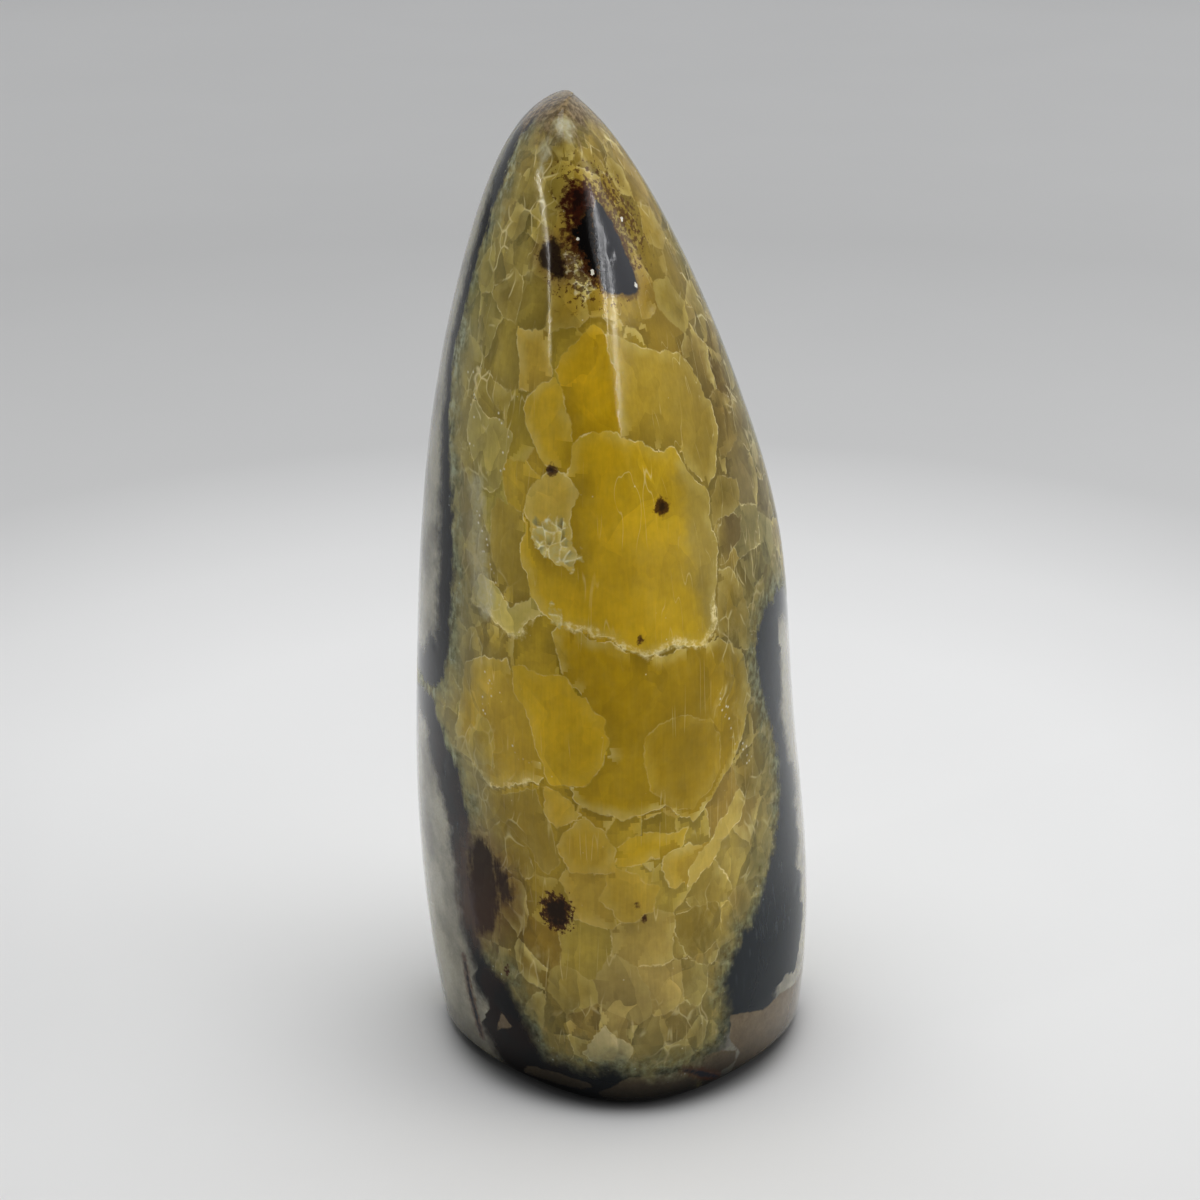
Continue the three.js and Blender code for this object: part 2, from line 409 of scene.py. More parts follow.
# %% Draw the large crystals
# Each has a name, its tone, how bright its seam is, how milky it is along the seam, and its outline.
LARGE_CRYSTALS = [
    ("pale foot", "milk", 0.8, 0.1, [
        (-15, 9.5), (-14, 11.8), (-9.5, 13.6), (-6.5, 15.3), (-3, 13.8), (1.5, 12.8), (2.5, 10.8),
        (0.5, 9.2), (-4, 8), (-9, 8.2)]),
    ("vein", "pale", 0.8, 0.3, [
        (51, 49), (54.5, 46.5), (50, 43.5), (42, 41.5), (37, 39), (31, 37), (26, 36.5), (27.5, 39),
        (34, 41.5), (39.5, 44), (45.5, 46), (49, 48)]),
    ("crushed cell", "pale", 0.7, 0.7, [
        (-24.7, 99.8), (-18.7, 101), (-12.9, 101.1), (-8.5, 99.7), (-8, 97.8), (-10.2, 95.9),
        (-11.8, 93.9), (-11.9, 91.4), (-9.6, 89.6), (-11.6, 87.9), (-17.6, 88.2), (-22.9, 88.8),
        (-27.4, 90.3), (-29.7, 92.7), (-31.6, 94.8), (-29.5, 97.5)]),
    ("centre", "gold", 0.8, 0.5, [
        (-8.5, 105.5), (-1, 107), (12, 107), (21.5, 105), (32.5, 103), (39, 103), (45, 98.5),
        (50, 95.5), (49, 92), (49.5, 87.5), (45, 79.5), (43.5, 75), (38.5, 74), (32.5, 74.5),
        (24.5, 75.5), (18, 74.6), (9.5, 75.5), (5.5, 76.5), (1.5, 77.5), (-4, 78), (-10.5, 79),
        (-15, 79.5), (-20.5, 79), (-23, 80), (-28.5, 82), (-31, 85), (-32.5, 88.5), (-31.5, 92.5),
        (-32, 95), (-28.5, 97.5), (-22, 100.5), (-16.5, 101.5), (-11.5, 101)]),
    ("left oval", "gold", 0.5, 0.6, [
        (-18.5, 114.5), (-28, 111.5), (-31, 109), (-29, 106), (-25, 103.5), (-21, 102), (-16.5, 101.5),
        (-11.5, 101), (-8.5, 103.5), (-8, 106.5), (-9, 109), (-11, 112), (-14.5, 115)]),
    ("upper right", "dull honey", 0.8, 0.5, [
        (13, 121), (33.5, 118), (47.5, 116.5), (59, 114), (62.5, 110), (66, 106), (64, 102.5),
        (59.5, 99.5), (57.5, 97), (51, 96), (46, 98.5), (41.5, 102), (32.5, 103), (22.5, 104.5),
        (14.5, 106), (16.5, 111.5), (16.5, 118)]),
    ("upper amber", "amber", 0.45, 0.3, [
        (8, 122), (12, 121), (17, 119), (18, 115.5), (17.5, 111.5), (14.5, 106.5), (6.5, 107),
        (-2, 106.5), (-8.5, 105.5), (-11.5, 101), (-9, 104.5), (-9, 108), (-10.5, 111),
        (-13.5, 115.5), (-7.5, 118.5), (2, 120.5)]),
    ("left corner", "light moss", 0.9, 0.8, [
        (-55.5, 78), (-46, 77), (-40.5, 76), (-36.5, 75.5), (-32, 77), (-27, 79), (-23, 80),
        (-27.5, 82), (-37, 80), (-44.5, 82), (-52, 83)]),
    ("left green", "green", 0.7, 0.5, [
        (-59, 108.5), (-50, 106.5), (-43.5, 106.5), (-37, 105.5), (-38.5, 102), (-42.5, 97.5),
        (-47.5, 95.5), (-53.5, 97), (-58.5, 100.5), (-62.5, 104.5)]),
    ("left shard", "umber", 0.3, 0.0, [
        (-63.5, 98.5), (-58.5, 96.5), (-55, 93), (-54.5, 89.5), (-58.5, 86.5), (-61.5, 89),
        (-63.5, 93.5)]),
    ("left sliver", "umber", 0.2, 0.0, [
        (-57.5, 86), (-54, 84), (-50.5, 80.5), (-52, 78.5), (-56, 80), (-59, 84)]),
    ("left olive", "dull honey", 0.3, 0.2, [
        (-42.5, 95), (-32, 94.5), (-31.5, 89), (-30, 84.5), (-25, 81), (-29, 81), (-37, 80),
        (-43, 82.5), (-45.5, 87.5), (-46, 93)]),
    ("left knee", "dull honey", 0.3, 0.3, [
        (-50, 61), (-46, 60.5), (-44, 57.5), (-44, 53.5), (-52, 52.5), (-55.5, 54.5), (-55, 57.5)]),
    ("lower left", "gold", 0.4, 0.2, [
        (-37.5, 71), (-25.5, 71), (-16.5, 71), (-8, 68.5), (-2.5, 65), (0, 61), (-2, 58.5),
        (-6.5, 55.5), (-11, 54.5), (-18, 54), (-22.5, 54), (-27, 58.5), (-30, 63), (-35, 67)]),
    ("far left", "honey", 0.8, 0.7, [
        (-58, 68), (-48.5, 71), (-39, 71.5), (-33.5, 67.5), (-29.5, 63), (-25.5, 58), (-23, 54.5),
        (-27, 53), (-31, 53.5), (-36, 51.5), (-42.5, 50), (-48.5, 50), (-54, 52.5), (-60, 53),
        (-62, 56), (-59, 62)]),
    ("low right", "deep amber", 0.25, 0.2, [
        (13, 61.5), (19, 64), (31, 63.5), (42.5, 61), (45, 57), (41.5, 52), (31, 49), (21, 50.5),
        (13, 55)]),
    ("hollow", "deep amber", 0.7, 0.9, [
        (-21.5, 78.5), (-15, 79), (-4, 77.5), (5, 76), (18, 74.5), (32, 74), (43, 74), (55.5, 70.5),
        (60, 63.5), (56.5, 57.5), (47, 52.5), (39, 49), (30.5, 46.5), (25, 48.5), (20, 50.5),
        (12, 50), (6.5, 49.5), (-2.5, 50), (-11, 51.5), (-15.5, 54), (-6.5, 55.5), (-0.5, 59.5),
        (-2, 64.5), (-9, 68.5), (-17.5, 71.5)]),
    ("right olive", "dark olive", 0.3, 0.3, [
        (57.5, 97), (67, 95), (66.5, 91), (61.5, 91), (55, 91), (49.5, 90.5), (50, 94)]),
    ("leaf", "umber", 0.4, 0.1, [
        (54.5, 90.5), (61.5, 91), (66, 89.5), (61, 86.5), (54.5, 85), (47.5, 84.5), (51, 88)]),
    ("right taupe", "olive", 0.6, 0.4, [
        (48, 84), (54.5, 83.5), (59, 79.5), (61.5, 74), (60.5, 69.5), (53.5, 71.5), (47, 73.5),
        (45, 76.5)]),
    ("under the vein", "honey", 0.6, 0.6, [
        (18, 42.5), (27.5, 43), (36, 43), (37, 40.5), (31.5, 38), (24.5, 37), (20, 37), (17, 39)]),
    ("dark cell", "dark olive", 0.5, 0.1, [
        (20.5, 32.5), (26, 33), (33.5, 33), (37.5, 31.5), (39.5, 27), (31.5, 25), (25.5, 24.5),
        (21, 27.5)]),
    ("small honey", "honey", 0.5, 0.4, [
        (-25.5, 53), (-18, 53.5), (-14, 52), (-11.5, 49.5), (-17, 47.5), (-20.5, 46), (-24, 48)]),
    ("left brown", "olive", 0.2, 0.1, [
        (-49.5, 49.5), (-42, 49.5), (-33.5, 51.5), (-27.5, 52.5), (-23, 48.5), (-20.5, 45.5),
        (-19.5, 41.5), (-24, 38.5), (-30.5, 42), (-38.5, 44), (-46.5, 46)]),
    ("low honey", "honey", 0.4, 0.4, [
        (-19, 46), (-10.5, 49.5), (-3, 47.5), (1, 44.5), (-0.5, 41), (-7, 39.5), (-16, 40),
        (-19, 42.5)]),
    ("low gold", "gold", 0.4, 0.3, [
        (0, 44.5), (9.5, 46.5), (18.5, 46), (29, 46), (21, 41.5), (12.5, 42.5), (6, 41), (1, 42)]),
    ("dotted cell", "honey", 0.3, 0.2, [
        (-1, 41.5), (7, 40), (15.5, 37), (10.5, 33), (7.5, 32.5), (-1, 33), (-5.5, 36),
        (-3.5, 39.5)]),
]
CRYSTAL_REACH = 8.0
SIDE_STEPS = 8
LARGE_BREAKS = {"amount": 0.8, "size": 2.6}
SMALL_BREAKS = {"amount": 0.35, "size": 0.9}
LARGE_BREAK_SEED = 40
SMALL_BREAK_SEED = 240

large_depths = []
for index, (*_, outline) in enumerate(LARGE_CRYSTALS):
    loop = ragged(straight(outline, SIDE_STEPS), **LARGE_BREAKS, seed=LARGE_BREAK_SEED + index)
    loop = ragged(loop, **SMALL_BREAKS, seed=SMALL_BREAK_SEED + index)
    large_depths.append(depth_in(unrolled, chart, loop, CRYSTAL_REACH)[0])
large_depths = np.array(large_depths)
print(f"{len(LARGE_CRYSTALS)} large crystals cover {(large_depths > 0).any(0).mean():.0%} of the skin")

# %% Scatter the small crystals
SMALLEST_CRYSTAL = 2.6
SIZE_SPREAD = 0.5
LARGER_INLAND = 3.4
INLAND = 12
TIP_FROM = 125
TIP_SHARE = 0.7
BACK_FROM = 100
BACK_SHARE = 1.25
INTO_MUD = 1
BEND = 1.2
BEND_SIZE = 6.0
BEND_SEED = 3
TALL = 0.85
DARTS = 9000
random = np.random.default_rng(11)


def bend(spots):
    """Places in the space where the small crystals are drawn, wavy, so that their edges curve."""
    return (spots + wander(spots, BEND_SIZE, BEND_SEED) * BEND) * (1, 1, TALL)


bent = bend(places)
widening = np.clip(shore / INLAND, 0, 1) * LARGER_INLAND
spacing = SMALLEST_CRYSTAL + widening + random.normal(0, SIZE_SPREAD, len(places)).clip(-1, 1)
spacing[chart[:, 1] > TIP_FROM] *= TIP_SHARE
spacing[abs(chart[:, 0]) > BACK_FROM] *= BACK_SHARE

seed_list = []
for dart in random.choice(len(places), DARTS, replace=False):
    if shore[dart] < -INTO_MUD:
        continue
    gaps = bent[seed_list] - bent[dart]
    if not seed_list or (gaps**2).sum(1).min() > spacing[dart] ** 2:
        seed_list.append(dart)
seeds = np.array(seed_list)
print(f"{len(seeds)} small crystals")

# %% Which crystal owns each face
FACE_ROWS = ROWS - 1


def on_faces(values):
    """Values of the places, averaged over the four corners of each face."""
    grid = values.reshape(ROWS, COLUMNS, -1)
    across = grid + np.roll(grid, -1, axis=1)
    return ((across[:-1] + across[1:]) / 4).reshape(FACE_ROWS * COLUMNS, -1)


face_places = on_faces(places)
face_bent = on_faces(bent)
tree = KDTree(len(seeds))
for index, spot in enumerate(bent[seeds]):
    tree.insert(spot, index)
tree.balance()
owner = np.array([tree.find(spot)[1] for spot in face_bent]) + len(LARGE_CRYSTALS)
for index in reversed(range(len(LARGE_CRYSTALS))):
    owner[on_faces(large_depths[index])[:, 0] > 0] = index
print(f"{len(np.unique(owner))} crystals show on the skin")

# %% The nearest neighbour across a seam
SEAM_STEPS = 10
SEAM_REACH = 7.0
FAR_OFF = 1000


def nearest_neighbours(owner, spots):
    """For each face, the crystal across the nearest seam, or its own where no seam is near."""
    own = owner.reshape(FACE_ROWS, COLUMNS)
    here = spots.reshape(FACE_ROWS, COLUMNS, 3)
    best = np.broadcast_to(here[:1, :1] + FAR_OFF, here.shape).copy()
    best_gap = np.full(own.shape, SEAM_REACH)
    best_owner = own.copy()
    for step in range(SEAM_STEPS):
        for rise, turn in ((0, 1), (0, -1), (1, 0), (-1, 0)):
            beside = np.roll(own, (rise, turn), (0, 1))
            crossing = beside != own
            spot = np.where(crossing[..., None], np.roll(here, (rise, turn), (0, 1)),
                            np.roll(best, (rise, turn), (0, 1)))
            who = np.where(crossing, beside, np.roll(best_owner, (rise, turn), (0, 1)))
            gap = np.linalg.norm(spot - here, axis=2)
            closer = (gap < best_gap) & (who != own)
            best[closer] = spot[closer]
            best_gap[closer] = gap[closer]
            best_owner[closer] = who[closer]
    return best_owner.reshape(-1)


neighbour = nearest_neighbours(owner, face_places)
upper = np.minimum(owner, neighbour)
lower = np.maximum(owner, neighbour)
print(f"{(upper != lower).mean():.0%} of the faces have a seam near")

# %% The distance to the seam at each face corner
NO_SEAM = 9.0
column_after = np.roll(np.arange(COLUMNS), -1)
corner_grid = np.arange(ROWS * COLUMNS).reshape(ROWS, COLUMNS)
face_corners = np.stack([
    corner_grid[:-1], corner_grid[:-1, column_after], corner_grid[1:, column_after], corner_grid[1:],
], -1).reshape(-1, 4)


def seam_distances():
    """Millimetres from each face corner to its face's seam, above 0 inside the upper crystal."""
    distance = np.full(face_corners.shape, NO_SEAM)
    for index in range(len(LARGE_CRYSTALS)):
        mine = (upper == index) & (upper != lower)
        distance[mine] = large_depths[index][face_corners[mine]]
        alone = (upper == index) & (upper == lower)
        distance[alone] = np.maximum(large_depths[index][face_corners[alone]], SEAM_REACH)
    small = (upper >= len(LARGE_CRYSTALS)) & (upper != lower)
    first = bent[seeds[upper[small] - len(LARGE_CRYSTALS)]]
    second = bent[seeds[lower[small] - len(LARGE_CRYSTALS)]]
    between = first - second
    spots = bent[face_corners[small]]
    middle = (first + second) / 2
    along_line = ((spots - middle[:, None]) * between[:, None]).sum(2)
    distance[small] = along_line / np.linalg.norm(between, axis=1)[:, None]
    return distance.clip(-NO_SEAM, NO_SEAM)


edge = seam_distances()
print(f"seam distances from {edge.min():.1f} to {edge.max():.1f} mm")

# %% Give every crystal its tone
# The small crystals take the tone of the nearest washes, which lie at these places.
WASHES = {
    "amber": [(37, 134), (8, 113), (0, 98), (10, 86), (-17, 75)],
    "deep amber": [(2, 70)],
    "gold": [(-24, 60), (14, 44), (-18, 29)],
    "honey": [(180, 135), (4, 124), (34, 112), (232, 90), (150, 75), (-16, 46), (34, 38)],
    "dull honey": [(58, 116), (140, 110), (34, 98), (26, 88), (-40, 88), (120, 70), (-54, 60), (180, 60),
        (240, 50)],
    "olive": [(30, 139), (40, 127), (-54, 110), (215, 110), (50, 104), (110, 100), (40, 86), (44, 57),
        (34, 54), (-44, 46), (-20, 32), (200, 25), (-44, 22), (17, 18), (-26, 14), (0, -18)],
    "dark olive": [(70, 145), (20, 138), (58, 136), (68, 126), (51, 93), (58, 71), (34, 67), (47, 64),
        (60, 52), (32, 25), (19, 20), (32, 14), (-16, 12)],
    "brown": [(40, 147), (10, 143), (-57, 140), (-17, 125), (70, 107), (61, 64), (-40, 34), (44, 28),
        (-30, 21)],
    "pale": [(-16, 116), (-54, 70), (40, 44), (4, 34), (30, 34), (-7, 27), (8, 27), (-4, 16)],
    "green": [(250, 120), (-58, 112), (52, 34), (130, 30), (48, 17), (180, -18)],
    "moss": [(-6, 148), (-42, 141), (-14, 140), (-44, 124), (-42, 114), (-50, 98), (-46, 76), (-66, 53)],
    "taupe": [(78, 116), (62, 96), (62, 42), (4, 8)],
    "umber": [(80, 105)],
    "grey": [(76, 97), (-58, 86), (71, 86), (-62, 77)],
    "milk": [(5, 21)],
    "light honey": [(-30, 110), (-30, 102), (-15, 88), (30, 77), (-30, 76), (-5, 55)],
    "light moss": [(-38, 132)],
}
WASH_REACH = 9.0
FAR_WASH = 1e-6
BRIGHTNESS = 0.96
BRIGHTNESS_SPREAD = 0.15
DARKEST = 0.65
BRIGHTEST = 1.12
WARMTH_SPREAD = 0.04

wash_places = on_skin(np.array([spot for spots in WASHES.values() for spot in spots], float))
wash_colours = np.array([linear(TONES[tone]) for tone, spots in WASHES.items() for _ in spots])
weights = np.array([np.exp(-((unrolled - spot) ** 2).sum(1) / WASH_REACH**2) for spot in wash_places]).T
weights += FAR_WASH
wash = weights @ wash_colours / weights.sum(1)[:, None]
print("mean wash", wash.mean(0).round(3))


def crystal_tones():
    """A colour for each crystal: the large ones as listed, the small ones from the wash near them."""
    brightness = random.normal(BRIGHTNESS, BRIGHTNESS_SPREAD, (len(seeds), 1))
    small = wash[seeds] * brightness.clip(DARKEST, BRIGHTEST)
    small[:, 0] *= random.normal(1, WARMTH_SPREAD, len(seeds))
    large = np.array([linear(TONES[crystal[1]]) for crystal in LARGE_CRYSTALS])
    return np.concatenate([large, small])


tones = crystal_tones()
over = tones[upper]
under = tones[lower]
print("mean crystal colour", tones.mean(0).round(3))

# %% How bright and how milky each seam is
FAINTEST_SEAM = 0.1
SEAM_SPREAD = 0.6
LEAST_MILK = 0.2
MILK_SPREAD = 0.75
seam_dice = np.random.default_rng(5).random((len(tones), 3))
seam_strength = FAINTEST_SEAM + SEAM_SPREAD * seam_dice[:, 0] ** 2
milk_strength = LEAST_MILK + MILK_SPREAD * seam_dice[:, 1]
seam_strength[:len(LARGE_CRYSTALS)] = [crystal[2] for crystal in LARGE_CRYSTALS]
milk_strength[:len(LARGE_CRYSTALS)] = [crystal[3] for crystal in LARGE_CRYSTALS]
seam = seam_strength[upper]
milk = milk_strength[upper]
print(f"mean seam {seam.mean():.2f}, mean milk {milk.mean():.2f}")

# %% [markdown]
# ## Stains
#
# Dark oxide grew into some of the calcite: a brown-black cluster under the tip with a slate-blue side,
# purple-brown lenses at the left of the window, and a few rusty spots and dots. They are outlines too,
# so that each place knows how deep it lies inside a stain. A halo round the cluster marks where fine
# brown specks are scattered. Crushed, milky and faded patches of calcite are drawn in the same way.

# %% Draw the stains
BLACK_STAINS = [
    [(25, 137.8), (17, 137.5), (13, 136), (7, 135.3), (1.5, 134.3), (2.5, 132.9), (6.7, 131.5),
     (10.8, 129.7), (11.6, 128.2), (18, 128.2), (20, 131.3), (21.5, 134.6)],
    [(1, 136.6), (5, 138.8), (14, 139.4), (26, 138.8), (25, 137.4), (16, 136.6), (8, 135.6)],
]
LENSES = [
    [(-56, 38), (-51.5, 40.3), (-47, 39), (-44.7, 36), (-43.7, 32), (-46, 27.5), (-51.5, 24.2),
     (-55.5, 24), (-58, 27.5), (-57.8, 33)],
    [(-47, 37.7), (-43.2, 37.7), (-40, 35.3), (-38.8, 32.2), (-42.3, 30.6), (-45.2, 32.7)],
    [(-23.5, 130.7), (-20.2, 131.9), (-14.1, 133.1), (-9.1, 132.8), (-7.2, 131.5), (-5.8, 129.5),
     (-5.3, 128.1), (-10.5, 127.7), (-15.6, 128.4), (-21.1, 129.3)],
]
SLATE_STAINS = [
    [(27.4, 137.6), (32.6, 137), (36.4, 135.4), (39.1, 133.5), (40.8, 131), (42.6, 128.2), (42, 125.2),
     (37.5, 124.5), (33.2, 124.7), (26.7, 125.3), (18, 126), (17.9, 129.2), (18.1, 131.9),
     (20.5, 134.9)],
]
RUST_STAINS = [
    [(-3, 136.5), (-1, 138.6), (5.4, 140), (14, 140.3), (29, 139.4), (26.9, 137.4), (17, 136.5),
     (8, 134.8), (0, 134.6)],
    [(-28, 33.9), (-24.7, 35.8), (-21, 35.7), (-17.5, 35.3), (-15.5, 33.3), (-17, 30.7), (-21, 29.3),
     (-25.5, 29.6), (-28, 31.9)],
    [(-46, 20), (-43.5, 20.4), (-42, 18.6)],
]
DOTS = [
    [(23.8, 95.8), (26, 96.8), (29.5, 96.6), (31, 95.7), (30.4, 94.7), (27.1, 94.3), (24.3, 94.9)],
    [(-21.1, 101.8), (-17.5, 102.4), (-15.3, 101.5), (-17.8, 100.6), (-20.6, 100.9)],
    [(11, 77.5), (13, 77.5), (13.6, 76.7), (11.5, 76.5)],
    [(6, 35.4), (7.4, 35.3), (7, 34.5), (5.8, 34.6)],
    [(8.4, 33.2), (9.8, 33), (9.6, 32.2), (8.2, 32.4)],
]
HALOES = [
    [(-12.5, 142), (12, 143.7), (51, 142), (65.5, 138), (68.5, 133), (61.5, 129), (43, 125),
     (20, 123.5), (-1.5, 123.6), (-16, 125.6), (-25.5, 128.6), (-25, 132.5), (-9.5, 136)],
]
STAIN_REACH = 6.0
STAIN_BREAKS = 1.2


def deepest(outlines, first_seed, amount):
    """How deep each place lies in any of the outlines, in millimetres, below 0 outside them."""
    depth = np.full(len(places), -STAIN_REACH)
    for seed, outline in enumerate(outlines, first_seed):
        loop = ragged(rounded(outline), amount, STAIN_BREAKS, seed)
        depth = np.maximum(depth, depth_in(unrolled, chart, loop, STAIN_REACH)[0])
    return depth


black = deepest(BLACK_STAINS, first_seed=70, amount=0.5)
lens = deepest(LENSES, first_seed=80, amount=0.3)
rust = deepest(RUST_STAINS, first_seed=84, amount=0.2)
dot = deepest(DOTS, first_seed=100, amount=0.2)
halo = deepest(HALOES, first_seed=90, amount=1.0)
print(f"{(black > 0).sum()} places black, {(lens > 0).sum()} in lenses, {(rust > 0).sum()} rusty")

# %% Frost the lower edges of some large crystals
FROSTED_BELOW = {"centre": 79, "left corner": 78, "far left": 52}
FROST_INSIDE = 0.2
FROST_FADES = 0.4

frost = np.full(len(places), -STAIN_REACH)
for depth, crystal in zip(large_depths, LARGE_CRYSTALS):
    if crystal[0] in FROSTED_BELOW:
        too_high = np.maximum(chart[:, 1] - FROSTED_BELOW[crystal[0]], 0)
        frost = np.maximum(frost, -abs(depth - FROST_INSIDE) - too_high * FROST_FADES)
print(f"{(frost > -1).sum()} places on frosted edges")

# %% Draw the crushed, milky and faded patches
CRUSHED = [
    [(-27.8, 92.9), (-23.3, 94.2), (-17.7, 95), (-13.6, 94.3), (-12.6, 92.6), (-11.8, 91.1),
     (-7.5, 89.4), (-11.6, 87.9), (-17.6, 88.2), (-22.5, 88.9), (-26.8, 90.3)],
    [(-24, 81.5), (-19, 82), (-15, 79.5), (-20, 79)],
    [(-5.3, 131.5), (-0.3, 132.3), (5, 131.6), (8, 130.4), (9.6, 129), (12.5, 127.4), (10.4, 126),
     (4.6, 124.7), (-1.1, 126.1), (-5, 128.1)],
]
MILKY = [
    [(-21, 147.6), (-5, 148.7), (30, 148), (38, 146.6), (17, 145.6), (-8, 146)],
    [(-31.5, 144), (-21.5, 145.6), (-7.5, 144.8), (-15.5, 143), (-28, 141)],
    [(-58, 97), (-51, 97), (-48.5, 90), (-47.5, 84), (-44, 80), (-47, 76), (-54, 79), (-57, 87)],
]
FADED = [
    [(45, 101), (53, 96), (52, 86), (48, 78), (44, 74), (39, 76), (36, 84), (36, 94), (38, 100)],
]
crushed = deepest(CRUSHED, first_seed=110, amount=0.6)
milky = deepest(MILKY, first_seed=120, amount=0.8)
faded = deepest(FADED, first_seed=130, amount=0.8)
print(f"{(crushed > 0).sum()} places crushed, {(milky > 0).sum()} milky, {(faded > 0).sum()} faded")

# %% Draw the slabs and cracks in the mud at the foot
SLABS = [
    [(-41, 3.4), (-37.2, 4.2), (-27.4, 4.7), (-14.6, 4.4), (-13.3, 3.5), (-17, 2.7), (-28, 2.2),
     (-43.5, 1.6)],
    [(-48.8, 11.9), (-44.3, 10), (-52.7, 7.6)],
    [(-12, 2.7), (0.8, 6.4), (12.5, 6.4), (21.8, 6), (36, 2), (30, -0.4), (10, -1.2), (0, -1), (-9, 1)],
    [(22.6, 6.9), (28.5, 7.6), (38.6, 7), (46.2, 5.3), (45.7, 3.1), (38, 2.6), (29, 4.4)],
    [(-62.8, 16), (-61.4, 13.4), (-60.2, 11), (-61.2, 10.6), (-62.6, 13), (-64, 16)],
    [(41.5, 12.8), (49, 11.7), (59, 10), (68, 10.6), (79, 9.5), (94, 11), (104, 7), (107, -14),
     (52, -14), (42, 0), (47.5, 4.6), (42, 8)],
]
CRACKS = [
    [(21.5, 6.5), (30, 4.6), (38, 2.2), (38, 1.4), (29, 3.6), (21, 5.9)],
    [(-63.3, 18), (-62.6, 12.3), (-61.4, 9), (-60.2, 4.5), (-62, 4.5), (-63.2, 9), (-64.4, 12.3),
     (-64.5, 18)],
]


def deepest_straight(outlines):
    """How deep each place lies in any of the outlines with straight sides, in millimetres."""
    depth = np.full(len(places), -STAIN_REACH)
    for outline in outlines:
        depth = np.maximum(depth, depth_in(unrolled, chart, straight(outline, 2), STAIN_REACH)[0])
    return depth


slab = deepest_straight(SLABS)
slate = np.maximum(deepest_straight(CRACKS), deepest(SLATE_STAINS, first_seed=95, amount=0.3))
print(f"{(slab > 0).sum()} places in slabs, {(slate > 0).sum()} in cracks and slate-blue stains")

# %% Mark where sparks glint
# Painted highlights: white glints at these spots and along these lines, where tiny breaks in the polish catch
# the light.
GLINT_SPOTS = [(47.6, 134.2), (-2.2, 137), (5.8, 133.2), (12.9, 128.8), (41.5, 125.7)]
SPARK_LINES = [
    [(-48.6, 69.5), (-46.8, 65.5), (-47.6, 61.4)],
    [(-38.3, 58.1), (-33.4, 57.6), (-27.5, 57.1)],
    [(44.1, 65.3), (49.3, 60.3), (53.7, 56.2), (57.1, 52.6)],
    [(-88.3, 22.9), (-82.9, 21.8)],
    [(-63, 112), (-58, 106), (-57, 100)],
    [(-52, 92), (-48, 86), (-44, 80)],
    [(-45, 108), (-40, 104), (-43, 99)],
]
glint_spot = deepest_straight([[spot, spot] for spot in GLINT_SPOTS])
spark = deepest_straight([line + line[-2:0:-1] for line in SPARK_LINES])
print(f"{(glint_spot > -0.6).sum()} places on white spots, {(spark > -1).sum()} near spark lines")

# %% [markdown]
# ## The stone's mesh
#
# The places become the corners of one closed mesh: a grid of four-sided faces, with a fan of triangles
# at the tip and one in the middle of the base. What was worked out above goes in as named attributes,
# which a material can read: one value at each corner point, or one for each face where neighbouring
# faces must not blend.

# %% Weave the mesh
middle_of_base = np.append(places[:COLUMNS, :2].mean(0), 0)
corner_places = np.concatenate([places, [tip, middle_of_base]]) * MM
TIP = len(places)
BASE_MIDDLE = TIP + 1
top_row = corner_grid[-1]
bottom_row = corner_grid[0]
tip_fan = [(top_row[i], top_row[(i + 1) % COLUMNS], TIP) for i in range(COLUMNS)]
base_fan = [(bottom_row[(i + 1) % COLUMNS], bottom_row[i], BASE_MIDDLE) for i in range(COLUMNS)]

mesh = bpy.data.meshes.new("polished_nodule")
mesh.from_pydata(corner_places, [], face_corners.tolist() + tip_fan + base_fan)
mesh.shade_smooth()
stone = bpy.data.objects.new("polished_nodule", mesh)
bpy.context.scene.collection.objects.link(stone)
print(f"{len(mesh.vertices)} corners, {len(mesh.polygons)} faces")


# %% Store what each place knows
def store(name, domain, values):
    """Keep one number or one colour for each point, face or face corner of the stone."""
    values = np.asarray(values, np.float32)
    kind = "FLOAT_VECTOR" if values.ndim == 2 else "FLOAT"
    attribute = mesh.attributes.new(name, kind, domain)
    slot = "vector" if values.ndim == 2 else "value"
    attribute.data.foreach_set(slot, values.ravel())


def with_poles(values):
    """The values of the places, then those of the tip and of the middle of the base."""
    rows = values.reshape(ROWS, COLUMNS, -1)
    both = np.concatenate([values.reshape(len(places), -1), rows[-1:].mean(1), rows[:1].mean(1)])
    return both.squeeze()


def with_fans(values):
    """The values of the faces, then those of the two fans of triangles."""
    rows = values.reshape(FACE_ROWS, COLUMNS, -1)
    return np.concatenate([values.reshape(len(face_corners), -1), rows[-1], rows[0]]).squeeze()


point_values = {
    "shore": shore, "rim": rim, "black": black, "lens": lens, "rust": rust, "dot": dot, "halo": halo,
    "crushed": crushed, "milky": milky, "slab": slab, "faded": faded, "slate": slate,
    "glint_spot": glint_spot, "spark": spark, "frost": frost, "wash": wash,
}
face_values = {"over": over, "under": under, "seam": seam, "milk": milk}
for name, values in point_values.items():
    store(name, "POINT", with_poles(values))
for name, values in face_values.items():
    store(name, "FACE", with_fans(values))
top_edges = edge.reshape(FACE_ROWS, COLUMNS, 4)[-1][:, [3, 2, 2]]
base_edges = edge.reshape(FACE_ROWS, COLUMNS, 4)[0][:, [1, 0, 0]]
store("edge", "CORNER", np.concatenate([edge.ravel(), top_edges.ravel(), base_edges.ravel()]))
print("attributes:", [attribute.name for attribute in mesh.attributes])

# %% [markdown]
# ## Words for shader sums
#
# The stone's material is mostly arithmetic on distances, and a shader does that with Math nodes. Placing
# each of them by hand is slow to write and to read. So one small class holds a node's output and gives it
# +, -, * and /, each of which adds a Math node, and one method adds any other node.

